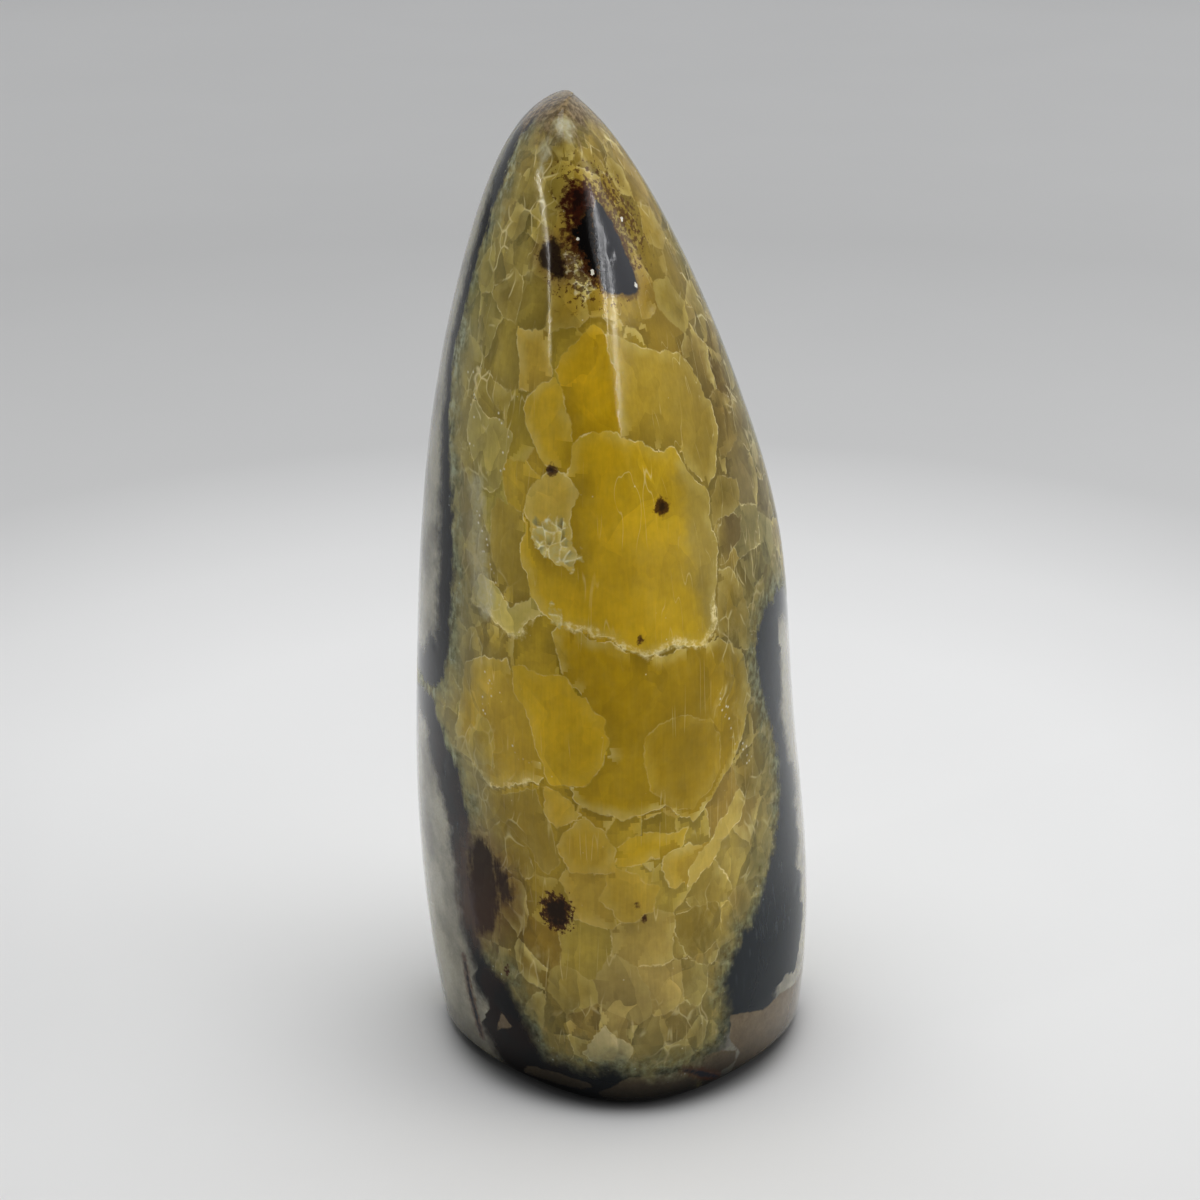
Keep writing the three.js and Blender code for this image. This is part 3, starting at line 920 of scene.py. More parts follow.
# %% Node words
class Value:
    """The output of a shader node. A sum written with it, such as 1 - mask, adds Math nodes."""

    def __init__(self, shader, socket):
        self.shader = shader
        self.socket = socket

    def math(self, operation, *others):
        return self.shader.node("ShaderNodeMath", {"operation": operation}, (self, *others))

    def other(self, name):
        """Another output of the same node."""
        return Value(self.shader, self.socket.node.outputs[name])

    def between(self, at_none, at_full):
        """The first number where this mask is 0, the second where it is 1."""
        return self * (at_full - at_none) + at_none

    def __add__(self, other):
        return self.math("ADD", other)

    def __sub__(self, other):
        return self.math("SUBTRACT", other)

    def __rsub__(self, other):
        return self * -1 + other

    def __mul__(self, other):
        return self.math("MULTIPLY", other)

    def __truediv__(self, other):
        return self.math("DIVIDE", other)

    __radd__ = __add__
    __rmul__ = __mul__


class Shader:
    """The nodes of a material or of a world, added one at a time."""

    def __init__(self, owner):
        owner.use_nodes = True
        self.owner = owner
        self.tree = owner.node_tree
        self.tree.nodes.clear()

    def node(self, kind, settings=None, inputs=(), output=0):
        """Add a node: its settings first, then values or links for its sockets, by place or by name."""
        node = self.tree.nodes.new(kind)
        settings = dict(settings or {})
        stops = settings.pop("stops", ())
        for name, setting in settings.items():
            setattr(node, name, setting)
        for index, (position, colour) in enumerate(stops):
            elements = node.color_ramp.elements
            stop = elements[index] if index < 2 else elements.new(position)
            stop.position = position
            stop.color = (*colour, 1)
        sockets = [socket for socket in node.inputs if socket.enabled]
        by_name = {socket.name: socket for socket in reversed(sockets)}
        pairs = inputs.items() if isinstance(inputs, dict) else enumerate(inputs)
        for key, value in pairs:
            socket = by_name[key] if isinstance(key, str) else sockets[key]
            if isinstance(value, Value):
                self.tree.links.new(value.socket, socket)
            elif socket.type == "RGBA":
                socket.default_value = (*value, 1)
            else:
                socket.default_value = value
        if isinstance(output, str):
            return Value(self, node.outputs[output])
        return Value(self, [socket for socket in node.outputs if socket.enabled][output])

    def finish(self, kind, surface):
        """Add the last node, which hands the surface to the renderer."""
        last = self.tree.nodes.new(kind)
        self.tree.links.new(surface.socket, last.inputs["Surface"])

    def attribute(self, name, output="Fac"):
        return self.node("ShaderNodeAttribute", {"attribute_name": name}, (), output)

    def blend(self, first, second, share):
        """The first colour where share is 0, the second where it is 1."""
        settings = {"data_type": "RGBA", "clamp_factor": True}
        return self.node("ShaderNodeMix", settings, {"Factor": share, "A": first, "B": second})

    def coat(self, under, paint, where, strength):
        """The first colour with another over it where the mask is 1, as thick as strength says."""
        return self.blend(under, paint, where * strength)

    def vector(self, operation, *inputs, output="Vector"):
        return self.node("ShaderNodeVectorMath", {"operation": operation}, inputs, output)

    def stretched(self, at, turns, scale):
        """The places turned, then stretched by one over the scale, which draws patterns out."""
        return self.node("ShaderNodeMapping", {}, {"Vector": at, "Rotation": turns, "Scale": scale})

    def tint(self, colour, factor):
        """The colour times a number."""
        return self.node("ShaderNodeVectorMath", {"operation": "SCALE"}, {0: colour, "Scale": factor})

    def rise(self, value, low, high):
        """0 below low, 1 above high and a smooth rise between them."""
        settings = {"interpolation_type": "SMOOTHSTEP"}
        inputs = {"Value": value, "From Min": low, "From Max": high}
        return self.node("ShaderNodeMapRange", settings, inputs)

    def fall(self, value, low, high):
        """1 below low, 0 above high and a smooth fall between them."""
        return 1 - self.rise(value, low, high)

    def fade(self, distance, width):
        """1 at distance 0, falling off to both sides like a hill, a third at the width."""
        ratio = distance / width
        return (ratio * ratio * -1).math("EXPONENT")

    def clouds(self, at, size, detail=2.0, roughness=0.5):
        """Soft random patches of a size in millimetres, about 0.5 on average."""
        inputs = {"Vector": at, "Scale": 1 / (size * MM), "Detail": detail, "Roughness": roughness}
        return self.node("ShaderNodeTexNoise", {}, inputs)

    def ripple(self, at, size, detail=2.0, roughness=0.5):
        """Clouds about 0, so that they push what they are added to both ways."""
        return self.clouds(at, size, detail, roughness) - 0.5

    def patches(self, at, size, start, full, detail=2.0, roughness=0.5):
        """A mask of clouds: 0 where they are under start, 1 where they are over full."""
        return self.rise(self.clouds(at, size, detail, roughness), start, full)

    def grains(self, at, size, feature="F1", output="Distance"):
        """Voronoi cells of a size in millimetres."""
        inputs = {"Vector": at, "Scale": 1 / (size * MM)}
        return self.node("ShaderNodeTexVoronoi", {"feature": feature}, inputs, output)


# %% [markdown]
# ## The polished stone's material
#
# Calcite is translucent: light goes in, scatters and comes out warmer. One skin with subsurface
# scattering does that without a second layer inside. On it, the seams, rims and stains come from the
# stored distances. Adding a little noise to a distance before it is compared makes an edge jagged at a
# scale far finer than the mesh.
#
# Everything is painted in order, each coat over the one before: crystals, what lies inside them, the
# fringe, the rim and the mud, and last the stains.

# %% Mix the paints
PAINTS = {
    "seam": (238, 226, 180),
    "milk": (210, 195, 130),
    "faded": (160, 142, 74),
    "fleck": (240, 236, 212),
    "crumb": (226, 214, 150),
    "crumb edge": (246, 242, 214),
    "milky patch": (204, 200, 176),
    "fringe": (128, 134, 112),
    "flank": (136, 130, 88),
    "left flank": (158, 152, 120),
    "ice": (178, 184, 166),
    "shore dot": (196, 206, 206),
    "black rim": (12, 15, 18),
    "blue rim": (29, 37, 42),
    "brown rim": (34, 19, 14),
    "rim fleck": (90, 98, 102),
    "mud": (165, 162, 147),
    "dark mud": (127, 124, 112),
    "slab": (118, 105, 84),
    "dark crust": (86, 68, 48),
    "light crust": (146, 128, 100),
    "black": (13, 8, 6),
    "rust": (76, 34, 12),
    "lens": (40, 23, 20),
    "brown lens": (62, 40, 34),
    "lens haze": (112, 80, 52),
    "slate": (32, 34, 42),
    # painted highlight: the white of the glints
    "spark": (232, 230, 218),
}
paint = {name: linear(colour) for name, colour in PAINTS.items()}
print(f"{len(paint)} paints")

# %% Read the stored distances
polish = Shader(bpy.data.materials.new("polished_stone"))
at = polish.node("ShaderNodeTexCoord", {}, (), "Object")
across_mm = polish.node("ShaderNodeSeparateXYZ", {}, (at,), "X") / MM
height_mm = polish.node("ShaderNodeSeparateXYZ", {}, (at,), "Z") / MM
stored = {name: polish.attribute(name, "Vector" if np.ndim(values) == 2 else "Fac")
          for name, values in (point_values | face_values | {"edge": 0}).items()}


def above(low, high):
    """0 below the first height in millimetres, 1 above the second."""
    return polish.rise(height_mm, low, high)


def below(low, high):
    """1 below the first height in millimetres, 0 above the second."""
    return polish.fall(height_mm, low, high)


def report(what):
    """Say how far the material has grown."""
    print(f"{what}: {len(polish.tree.nodes)} nodes so far")


report("stored distances")

# %% Noise for the edges
SEAM_TOOTH = 0.8
SEAM_WAVE = 1.1
SHORE_TOOTH = 1.4
SHORE_WAVE = 2.2
SHORE_STREAK = 1.8
SHORE_MOTTLE = 2.8
SOFT_WAVE = 4

tooth = polish.ripple(at, size=0.9, detail=3)
wave = polish.ripple(at, size=3.5)
mottle = polish.ripple(at, size=2, detail=5, roughness=0.65)
depth_wave = polish.ripple(at, size=8, detail=4, roughness=0.55)
fine_wave = polish.ripple(at, size=1.2, detail=5, roughness=0.6)
speckle = polish.ripple(at, size=0.8, detail=4, roughness=0.65)
upright = polish.stretched(at, turns=(0, 0, 0), scale=(1, 1, 0.2))
streaks = polish.ripple(upright, size=0.9, detail=4, roughness=0.6)
brushed = polish.ripple(polish.stretched(at, turns=(0, 0, 0), scale=(1, 1, 0.06)), size=0.4)

above_foot = above(13, 24)
is_left = polish.fall(across_mm, -12, -2)
edge_mm = stored["edge"] + tooth * SEAM_TOOTH + wave * SEAM_WAVE
shore_mm = stored["shore"] + tooth * SHORE_TOOTH + wave * SHORE_WAVE + streaks * above_foot * SHORE_STREAK
shore_mm = shore_mm + mottle * above_foot.between(1, 0.6) * SHORE_MOTTLE
heart = polish.rise(stored["shore"] + wave * SOFT_WAVE, 8, 15)
report("noise for the edges")

# %% Crystals and their seams
CRYSTAL_SHARE = 0.6
DEPTH_TONE = 0.5
FINE_TONE = 0.28
BRUSHED_TONE = 0.2
OVERLAP = 0.12
MILK_WIDTH = 2.2
SHADOW_WIDTH = 4
SHADOW_DARK = 0.6
SEAM_WIDTH = 0.1
FROST_TOOTH = 1.2
FROST_WAVE = 2.2

is_over = polish.rise(edge_mm, -OVERLAP, OVERLAP)
crystal = polish.blend(stored["under"], stored["over"], is_over)
crystal = polish.blend(stored["wash"], crystal, CRYSTAL_SHARE)
is_faded = polish.rise(stored["faded"] + wave * SOFT_WAVE, -2.2, 2.2)
crystal = polish.coat(crystal, paint["faded"], is_faded, strength=0.85)
tone = depth_wave * DEPTH_TONE + fine_wave * FINE_TONE + brushed * BRUSHED_TONE + 1
crystal = polish.tint(crystal, tone)

milk_patch = polish.patches(at, size=4.5, start=0.38, full=0.66)
milk_band = polish.fall(edge_mm, 0, MILK_WIDTH) * is_over * stored["milk"]
milk_band = milk_band * milk_patch.between(0.3, 1) * below(38, 55).between(0.7, 0.95)
crystal = polish.blend(crystal, paint["milk"], milk_band)
shadow_band = polish.rise(edge_mm, -SHADOW_WIDTH, 0.3) * (1 - is_over) * stored["milk"]
crystal = polish.tint(crystal, shadow_band.between(1, SHADOW_DARK))

broken = polish.patches(at, size=2.2, start=0.4, full=0.6, detail=3)
top_right = above(106, 122) * polish.rise(across_mm, -12, 2)
seam_line = polish.fade(edge_mm, SEAM_WIDTH) * stored["seam"]
seam_line = seam_line * broken.between(0.15, 1) * top_right.between(1, 0.5)
crystal = polish.coat(crystal, paint["seam"], seam_line, strength=0.8)
feather = polish.patches(at, size=0.8, start=0.4, full=0.6, detail=4, roughness=0.65)
is_frost = polish.rise(stored["frost"] + tooth * FROST_TOOTH + wave * FROST_WAVE, -0.9, -0.1)
crystal = polish.blend(crystal, paint["seam"], is_frost * feather.between(0.1, 0.7))
report("crystals and seams")

# %% [markdown]
# ### Shards
#
# Under the polish the calcite is full of flat cracks, and each flat throws back a little more light at
# one side than at the other. Voronoi cells whose tone leans across them look like that: the place in
# the cell, measured along the cell's own random direction, makes one side lighter.

# %% Shards inside the calcite
LARGE_SHARD = 6.5
SMALL_SHARD = 2.8
SHARD_LEAN = 0.68
SHARD_LUCK = 0.12
SHARD_LIGHT = 1.06
SHARD_LINE = 0.07
WARP_SIZE = 9
WARP = 7


def shards(at, size):
    """Cells that are lighter at one side and darker at the other, from about -0.3 to 0.3."""
    middle = polish.grains(at, size, output="Position")
    luck = middle.other("Color")
    away = polish.vector("SUBTRACT", at, middle)
    facing = polish.vector("SUBTRACT", luck, (0.5, 0.5, 0.5))
    lean = polish.vector("DOT_PRODUCT", away, facing, output="Value") / (size * MM)
    return lean * SHARD_LEAN + (polish.node("ShaderNodeSeparateColor", {}, (luck,)) - 0.5) * SHARD_LUCK


drift = polish.clouds(at, WARP_SIZE).other("Color")
warped = polish.vector("MULTIPLY_ADD", drift, (WARP * MM,) * 3, at)
slanting = polish.stretched(warped, turns=(0.5, 0.35, 0.2), scale=(1, 1, 0.5))
large_shards = shards(slanting, LARGE_SHARD) * heart.between(1, 0.3)
small_shards = shards(slanting, SMALL_SHARD) * heart.between(1, 0.2)
crystal = polish.tint(crystal, large_shards + small_shards * 0.8 + SHARD_LIGHT)
shard_edge = polish.grains(slanting, SMALL_SHARD, "DISTANCE_TO_EDGE")
shard_crowd = polish.patches(at, size=5, start=0.5, full=0.62) * (1 - heart)
shard_line = polish.fall(shard_edge, 0, SHARD_LINE) * shard_crowd
crystal = polish.blend(crystal, paint["seam"], shard_line * above(90, 120).between(0.4, 0.7))
report("shards")

# %% Veils, haze and flecks
VEIL_LEVEL = 0.52
VEIL_WIDTH = 0.006
FLECK_SPACING = 1.5
FLECK_SIZE = 0.13

veil_at = polish.stretched(at, turns=(0.15, 0.55, 0.3), scale=(1, 1, 0.05))
veil_line = polish.fade(polish.clouds(veil_at, size=2.4, detail=1) - VEIL_LEVEL, VEIL_WIDTH)
veil_crowd = polish.patches(at, size=7, start=0.5, full=0.66)
crystal = polish.coat(crystal, paint["seam"], veil_line * veil_crowd, strength=0.4)
haze = polish.patches(slanting, size=2.6, start=0.44, full=0.7, detail=5, roughness=0.65)
crystal = polish.coat(crystal, paint["milk"], haze * heart.between(1, 0.2), strength=0.26)

fleck_cell = polish.grains(at, FLECK_SPACING)
fleck_luck = polish.node("ShaderNodeSeparateColor", {}, (fleck_cell.other("Color"),))
fleck_crowd = polish.patches(at, size=7, start=0.48, full=0.62)
flecks = polish.fall(fleck_cell, 0, FLECK_SIZE) * polish.rise(fleck_luck, 0.76, 0.78) * fleck_crowd
crystal = polish.coat(crystal, paint["fleck"], flecks, strength=0.8)
report("veils, haze and flecks")

# %% Crushed and milky patches
CRUMB = 1.9
CRUMB_LINE = 0.12
CRUMB_CONTRAST = 2.2
CRUMB_LIGHT = 0.75
CRUSHED_TOOTH = 3
CRUSHED_WAVE = 1.5
MILKY_WAVE = 3
MILKY_STREAK = 2

crumb_line = polish.fall(polish.grains(warped, CRUMB, "DISTANCE_TO_EDGE"), 0, CRUMB_LINE)
crumb = polish.tint(paint["crumb"], shards(warped, CRUMB) * CRUMB_CONTRAST + CRUMB_LIGHT)
crumb = polish.coat(crumb, paint["crumb edge"], crumb_line, strength=0.7)
is_crushed = polish.rise(stored["crushed"] + tooth * CRUSHED_TOOTH + wave * CRUSHED_WAVE, -0.3, 0.6)
crystal = polish.blend(crystal, crumb, is_crushed * (fine_wave * 3 + 0.7))
is_milky = polish.rise(stored["milky"] + wave * MILKY_WAVE + streaks * MILKY_STREAK, -0.6, 1.4)
milky_grain = polish.clouds(at, size=0.7, detail=4, roughness=0.65)
milkiness = is_milky * milky_grain * above(105, 125).between(1, 1.8)
crystal = polish.blend(crystal, paint["milky patch"], milkiness)
report("crushed and milky patches")

# %% [markdown]
# ### The fringe, the rim and the mud
#
# Where the calcite meets the mud, its first crystals are tiny and grey-green, and iron and manganese have
# stained the mud's rim nearly black. Separate meshes could have a material each, but they would meet in
# hard lines. So the distance to the shore, made ragged by noise, fades each tone into the next.

# %% The fringe along the mud
FRINGE_WIDTH = 8
FRINGE_GRAIN = 3.2
FRINGE_STREAK = 1.2
ICE_FROM_SHORE = 1.2
ICE_WIDTH = 1.8
DOT_SPACING = 1
DOT_SIZE = 0.22

fringe_width = polish.clouds(at, size=12, detail=1) * FRINGE_WIDTH
fringe = polish.fall(shore_mm / fringe_width, 0.1, 1)
low_right = polish.rise(across_mm, 2, 10) * below(74, 84)
fringe_light = above_foot.between(0.72, 0.82) - low_right * 0.2
fringe_tone = streaks * above_foot * FRINGE_STREAK + fine_wave * FRINGE_GRAIN + fringe_light
fringe_tone = polish.tint(paint["fringe"], fringe_tone)

left_flank = is_left * above(24, 44) * below(112, 126)
flank_tone = polish.blend(paint["flank"], paint["left flank"], left_flank)
greyness = polish.fall(shore_mm + depth_wave * 8, 1, 11) * 0.45
calcite = polish.blend(crystal, flank_tone, greyness * left_flank.between(1, 1.35))
fringe_patch = polish.patches(at, size=5, start=0.36, full=0.62).between(0.3, 0.75)
calcite = polish.blend(calcite, fringe_tone, fringe * fringe_patch)
ice = polish.fade(shore_mm - ICE_FROM_SHORE, ICE_WIDTH) * polish.rise(streaks + fine_wave, -0.06, 0.16)
ice = ice * polish.patches(at, size=6, start=0.42, full=0.62, detail=1) * above(30, 60)
calcite = polish.blend(calcite, paint["ice"], ice * is_left.between(0.15, 0.45))
shore_dots = polish.fall(polish.grains(at, DOT_SPACING), 0, DOT_SIZE)
near_shore = polish.fade(stored["shore"] - 0.3, 1.6) * polish.patches(at, size=4, start=0.46, full=0.6)
shore_dots = shore_dots * near_shore * polish.rise(fine_wave, -0.02, 0.06)
report("fringe")

# %% The dark rim and the mud
MUD_GRAIN = 0.4
SLAB_TOOTH = 0.8
SLAB_CLOUD = 0.8
SLAB_GRAIN = 0.6
FRONT_MIDDLE = 3

mud_patch = polish.patches(at, size=9, start=0.3, full=0.6, detail=4)
mud = polish.blend(paint["dark mud"], paint["mud"], mud_patch)
mud_grain = polish.ripple(at, size=0.35, detail=3) * MUD_GRAIN
mud = polish.tint(mud, mud_grain + 1)
rim_tone = polish.blend(paint["blue rim"], paint["black rim"], is_left)
rim_fleck = polish.patches(upright, size=0.7, start=0.54, full=0.72, detail=4)
rim_tone = polish.coat(rim_tone, paint["rim fleck"], rim_fleck * above_foot, strength=0.3)
is_brown = polish.patches(at, size=4, start=0.44, full=0.56, detail=5) * is_left
rim_tone = polish.coat(rim_tone, paint["brown rim"], is_brown * below(45, 62), strength=0.8)
is_mud = polish.fall(shore_mm + stored["rim"], -2.4, 1)
dark_side = polish.blend(rim_tone, mud, is_mud)
is_slab = polish.rise(stored["slab"] + tooth * SLAB_TOOTH, -0.1, 0.3)
slab_tone = polish.tint(paint["slab"], mud_grain + depth_wave * SLAB_CLOUD + fine_wave * SLAB_GRAIN + 1)
dark_side = polish.blend(dark_side, slab_tone, is_slab)

# Painted shade: the mud, the rim and the slabs grow darker towards the foot, most of all at the front, where
# the lamps behind and above leave the foot in shade.
front = polish.fall((across_mm - FRONT_MIDDLE).math("ABSOLUTE"), 11, 24)
light_left_at_foot = front.between(0.58, 0.04)
painted_foot_shade = above(0.5, 11) * (1 - light_left_at_foot) + light_left_at_foot
dark_side = polish.tint(dark_side, painted_foot_shade)
shore_blur = 2.2 - above_foot - above(30, 60) * 0.4 - above(90, 120) * 0.2
is_calcite = polish.rise(shore_mm / shore_blur, -1, 0.8)
skin_tone = polish.blend(dark_side, calcite, is_calcite)
skin_tone = polish.coat(skin_tone, paint["shore dot"], shore_dots, strength=0.9)
report("rim and mud")

# %% [markdown]
# ### The crust, the stains and the sparks
#
# The tip keeps a little of the rough outer skin. A stain is black in the middle and rusty at its border,
# from which specks stray into the calcite. An image could show all this, but a distance with noise on it
# needs none and stays sharp from close by. Last come the sparks, tiny breaks in the polish, as painted
# highlights: white glints painted into the colour where those breaks catch the light.

# %% The crust on the tip
CRUST_WAVE = 7
CRUST_TOOTH = 3

crust_grain = polish.patches(at, size=0.8, start=0.4, full=0.62, detail=5, roughness=0.7)
crust = polish.blend(paint["dark crust"], paint["light crust"], crust_grain)
is_crust = polish.rise(height_mm + wave * CRUST_WAVE + tooth * CRUST_TOOTH, 144, 148)
skin_tone = polish.coat(skin_tone, crust, is_crust * is_milky.between(1, 0.1), strength=0.85)
report("crust")

# %% Specks in the halo, and the lenses
HALO_CROWD = 0.15
LENS_SPECKLE = 2

crowd = polish.rise(stored["halo"], -1, 5)
halo_grain = polish.clouds(at, size=0.7, detail=3, roughness=0.6)
halo_specks = polish.rise(halo_grain + crowd * HALO_CROWD, 0.6, 0.68)
halo_specks = halo_specks * polish.rise(stored["halo"], -1.5, 0.5)
skin_tone = polish.coat(skin_tone, paint["rust"], halo_specks, strength=0.7)
lens_streaks = streaks * above(60, 100).between(4.5, 1.5)
lens_reach = (stored["lens"] + speckle * LENS_SPECKLE + lens_streaks) * above(60, 100).between(1, 2)
skin_tone = polish.coat(skin_tone, paint["lens haze"], polish.rise(lens_reach, -5, 1), strength=0.5)
lens_tone = polish.blend(paint["brown lens"], paint["lens"], above(26, 40))
skin_tone = polish.coat(skin_tone, lens_tone, polish.rise(lens_reach, -0.8, 1), strength=0.88)
report("halo and lenses")

# %% Slate, black, rust and dots
SLATE_TOOTH = 0.7
BORDER_SPECKLE = 2
BLACK_SPECKLE = 4
RUST_SPECKLE = 6
DOT_SPECKLE = 2

is_slate = polish.rise(stored["slate"] + tooth * SLATE_TOOTH, -0.15, 0.3)
slate_border = polish.rise(stored["slate"] + speckle * BORDER_SPECKLE, -0.9, 0.1)
slate_border = slate_border * polish.fall(stored["black"], -2.5, -0.8)
black_reach = stored["black"] + speckle * BLACK_SPECKLE
black_border = polish.rise(black_reach, -1.5, -0.1) * (1 - is_slate)
rust_reach = stored["rust"] + speckle * RUST_SPECKLE
dot_reach = stored["dot"] + speckle * DOT_SPECKLE
for name, where, strength in (
        ("rust", slate_border, 0.6), ("slate", is_slate, 1),
        ("rust", black_border, 0.85), ("black", polish.rise(black_reach, -0.3, 0.6), 1),
        ("rust", polish.rise(rust_reach, 0, 0.7), 0.9), ("black", polish.rise(rust_reach, 0.6, 1.8), 0.7),
        ("rust", polish.rise(dot_reach, -0.2, 0.35), 0.85), ("black", polish.rise(dot_reach, 0.3, 0.9), 0.6)):
    skin_tone = polish.coat(skin_tone, paint[name], where, strength)
report("stains")

# %% Painted glints: white spots and sparks
SPOT_TOOTH = 2.4
SPARK_SPACING = 1
SPARK_SIZE = 0.3
SPARK_TOOTH = 1.5

# Painted highlights: the glints are painted white into the skin's colour.
is_glint_spot = polish.rise(stored["glint_spot"] + tooth * SPOT_TOOTH, -0.3, -0.15)
spark_dots = polish.fall(polish.grains(at, SPARK_SPACING), 0, SPARK_SIZE)
is_spark = spark_dots * polish.rise(stored["spark"] + tooth * SPARK_TOOTH, -1.3, -0.7)
skin_tone = polish.coat(skin_tone, paint["spark"], is_glint_spot.math("MAXIMUM", is_spark), strength=0.9)
report("spots and sparks")

# %% [markdown]
# ### Gloss
#
# A polished stone mirrors the lamps, a little unevenly. The mud and its rim take a better shine than
# the cracked calcite, so they get a clear coat on top, except near the tip and the foot, where hands and
# shelves have dulled it. The bump holds only hairlines and scratches, which are too fine for the mesh.

# %% Gloss and the finished material
MUD_GLOSS = 0.7
ROUGHEST = 0.16
SMOOTHEST = 0.08

rough = polish.clouds(at, size=2, detail=3).between(SMOOTHEST, ROUGHEST)
dull_tip = above(105, 135) * 0.7
dull_foot = is_left * below(14, 30) * 0.95
dull_front = front * below(6, 16)
dull_right = (1 - is_left) * below(20, 34) * above(7, 13) * 0.6
mud_gloss = (1 - is_calcite) * (1 - dull_tip) * (1 - dull_foot) * MUD_GLOSS
mud_gloss = mud_gloss * (1 - dull_front) * (1 - dull_right)
scratch = polish.clouds(at, size=0.6)
bump_height = is_calcite * 0.5 + seam_line * -0.3 + scratch * 0.25
bump = polish.node("ShaderNodeBump", {}, {"Strength": 0.12, "Distance": 0.4 * MM, "Height": bump_height})
surface = polish.node("ShaderNodeBsdfPrincipled", {}, {
    "Base Color": skin_tone, "Roughness": rough, "IOR": 1.55, "Normal": bump,
    "Specular IOR Level": 0.3, "Subsurface Weight": 0.35, "Subsurface Radius": (1.0, 0.75, 0.3),
    "Subsurface Scale": 2 * MM, "Coat Weight": mud_gloss, "Coat Roughness": 0.08})
polish.finish("ShaderNodeOutputMaterial", surface)
print(f"{len(polish.tree.nodes)} nodes in the stone's material")

# %% [markdown]
# ## Polished by hand
#
# The stone was held against a wheel by hand, so its skin undulates a little, and here and there a small
# pit was left. Sculpting could do this, but a rule does it evenly and can be changed later. A Geometry
# Nodes tree moves each corner along its normal by soft noise, then presses pits round scattered points.

# %% Build the polishing tree
MOST_PITS = 40000.0
POLISH_INPUTS = {
    "Wave size": ("NodeSocketFloat", 22 * MM),
    "Wave height": ("NodeSocketFloat", 0.22 * MM),
    "Pit spacing": ("NodeSocketFloat", 9 * MM),
    "Pit width": ("NodeSocketFloat", 1.1 * MM),
    "Pit depth": ("NodeSocketFloat", 0.06 * MM),
    "Still below": ("NodeSocketFloat", 3 * MM),
    "Seed": ("NodeSocketInt", 4),
    "Finish": ("NodeSocketMaterial", polish.owner),
}


def polishing_tree():
    """The tree that does the wheel's work, with its sizes as named inputs."""
    tree = bpy.data.node_groups.new("hand_polish", "GeometryNodeTree")
    tree.interface.new_socket("Geometry", in_out="INPUT", socket_type="NodeSocketGeometry")
    tree.interface.new_socket("Geometry", in_out="OUTPUT", socket_type="NodeSocketGeometry")
    for name, (kind, value) in POLISH_INPUTS.items():
        tree.interface.new_socket(name, in_out="INPUT", socket_type=kind)
    given = tree.nodes.new("NodeGroupInput").outputs

    def add(kind, settings=None, inputs=()):
        node = tree.nodes.new(kind)
        for name, setting in (settings or {}).items():
            setattr(node, name, setting)
        pairs = inputs.items() if isinstance(inputs, dict) else enumerate(inputs)
        for key, value in pairs:
            if isinstance(value, bpy.types.NodeSocket):
                tree.links.new(value, node.inputs[key])
            else:
                node.inputs[key].default_value = value
        return node.outputs

    def sum_of(operation, *inputs):
        return add("ShaderNodeMath", {"operation": operation}, inputs)[0]

    where = add("GeometryNodeInputPosition")[0]
    facing = add("GeometryNodeInputNormal")[0]
    scale = sum_of("DIVIDE", 1.0, given["Wave size"])
    waves = add("ShaderNodeTexNoise", {}, {"Vector": where, "Scale": scale, "Detail": 1.0})[0]
    swell = sum_of("MULTIPLY", sum_of("SUBTRACT", waves, 0.5), given["Wave height"])

    points = add("GeometryNodeDistributePointsOnFaces", {"distribute_method": "POISSON"}, {
        "Mesh": given["Geometry"], "Distance Min": given["Pit spacing"], "Density Max": MOST_PITS,
        "Seed": given["Seed"]})[0]
    gap = add("GeometryNodeProximity", {"target_element": "POINTS"}, {0: points})["Distance"]
    pit = add("ShaderNodeMapRange", {"interpolation_type": "SMOOTHSTEP"}, {
        "Value": gap, "From Min": 0.0, "From Max": given["Pit width"], "To Min": given["Pit depth"],
        "To Max": 0.0})[0]

    lift = add("ShaderNodeSeparateXYZ", {}, (where,))[2]
    free = add("ShaderNodeMapRange", {"interpolation_type": "SMOOTHSTEP"}, {
        "Value": lift, "From Min": 0.0, "From Max": given["Still below"]})[0]
    moved = sum_of("MULTIPLY", sum_of("SUBTRACT", swell, pit), free)
    offset = add("ShaderNodeVectorMath", {"operation": "SCALE"}, {0: facing, "Scale": moved})[0]
    polished = add("GeometryNodeSetPosition", {}, {"Geometry": given["Geometry"], "Offset": offset})[0]
    real = add("GeometryNodeRealizeInstances", {}, (polished,))[0]
    finished = add("GeometryNodeSetMaterial", {}, {"Geometry": real, "Material": given["Finish"]})[0]
    tree.links.new(finished, tree.nodes.new("NodeGroupOutput").inputs["Geometry"])
    return tree


polishing = polishing_tree()
print(f"{len(polishing.nodes)} nodes in the polishing tree, with the inputs {', '.join(POLISH_INPUTS)}")

# %% Polish the stone
modifier = stone.modifiers.new("hand_polish", "NODES")
modifier.node_group = polishing
for item in polishing.interface.items_tree:
    if item.in_out == "INPUT" and item.name in POLISH_INPUTS:
        modifier[item.identifier] = POLISH_INPUTS[item.name][1]
evaluated = stone.evaluated_get(bpy.context.evaluated_depsgraph_get())
polished_mesh = bpy.data.meshes.new_from_object(evaluated)
before = np.array([vertex.co for vertex in stone.data.vertices])
after = np.array([vertex.co for vertex in polished_mesh.vertices])
stone.modifiers.remove(modifier)
stone.data = polished_mesh
polished_mesh.name = "polished_nodule"
bpy.data.meshes.remove(mesh)
move = np.linalg.norm(after - before, axis=1) / MM
print(f"polishing moved the skin by up to {move.max():.2f} mm, {move.mean():.3f} mm on average")

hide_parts("nodule")
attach(stone, "root")

# %% [markdown]
# ## Floor, light and camera
#
# A pale matt floor that runs on past the picture, a pale world all round, and soft lamps: one wide lamp
# above and behind, and narrow ones in front, whose reflections are the bright streaks down the ridge.

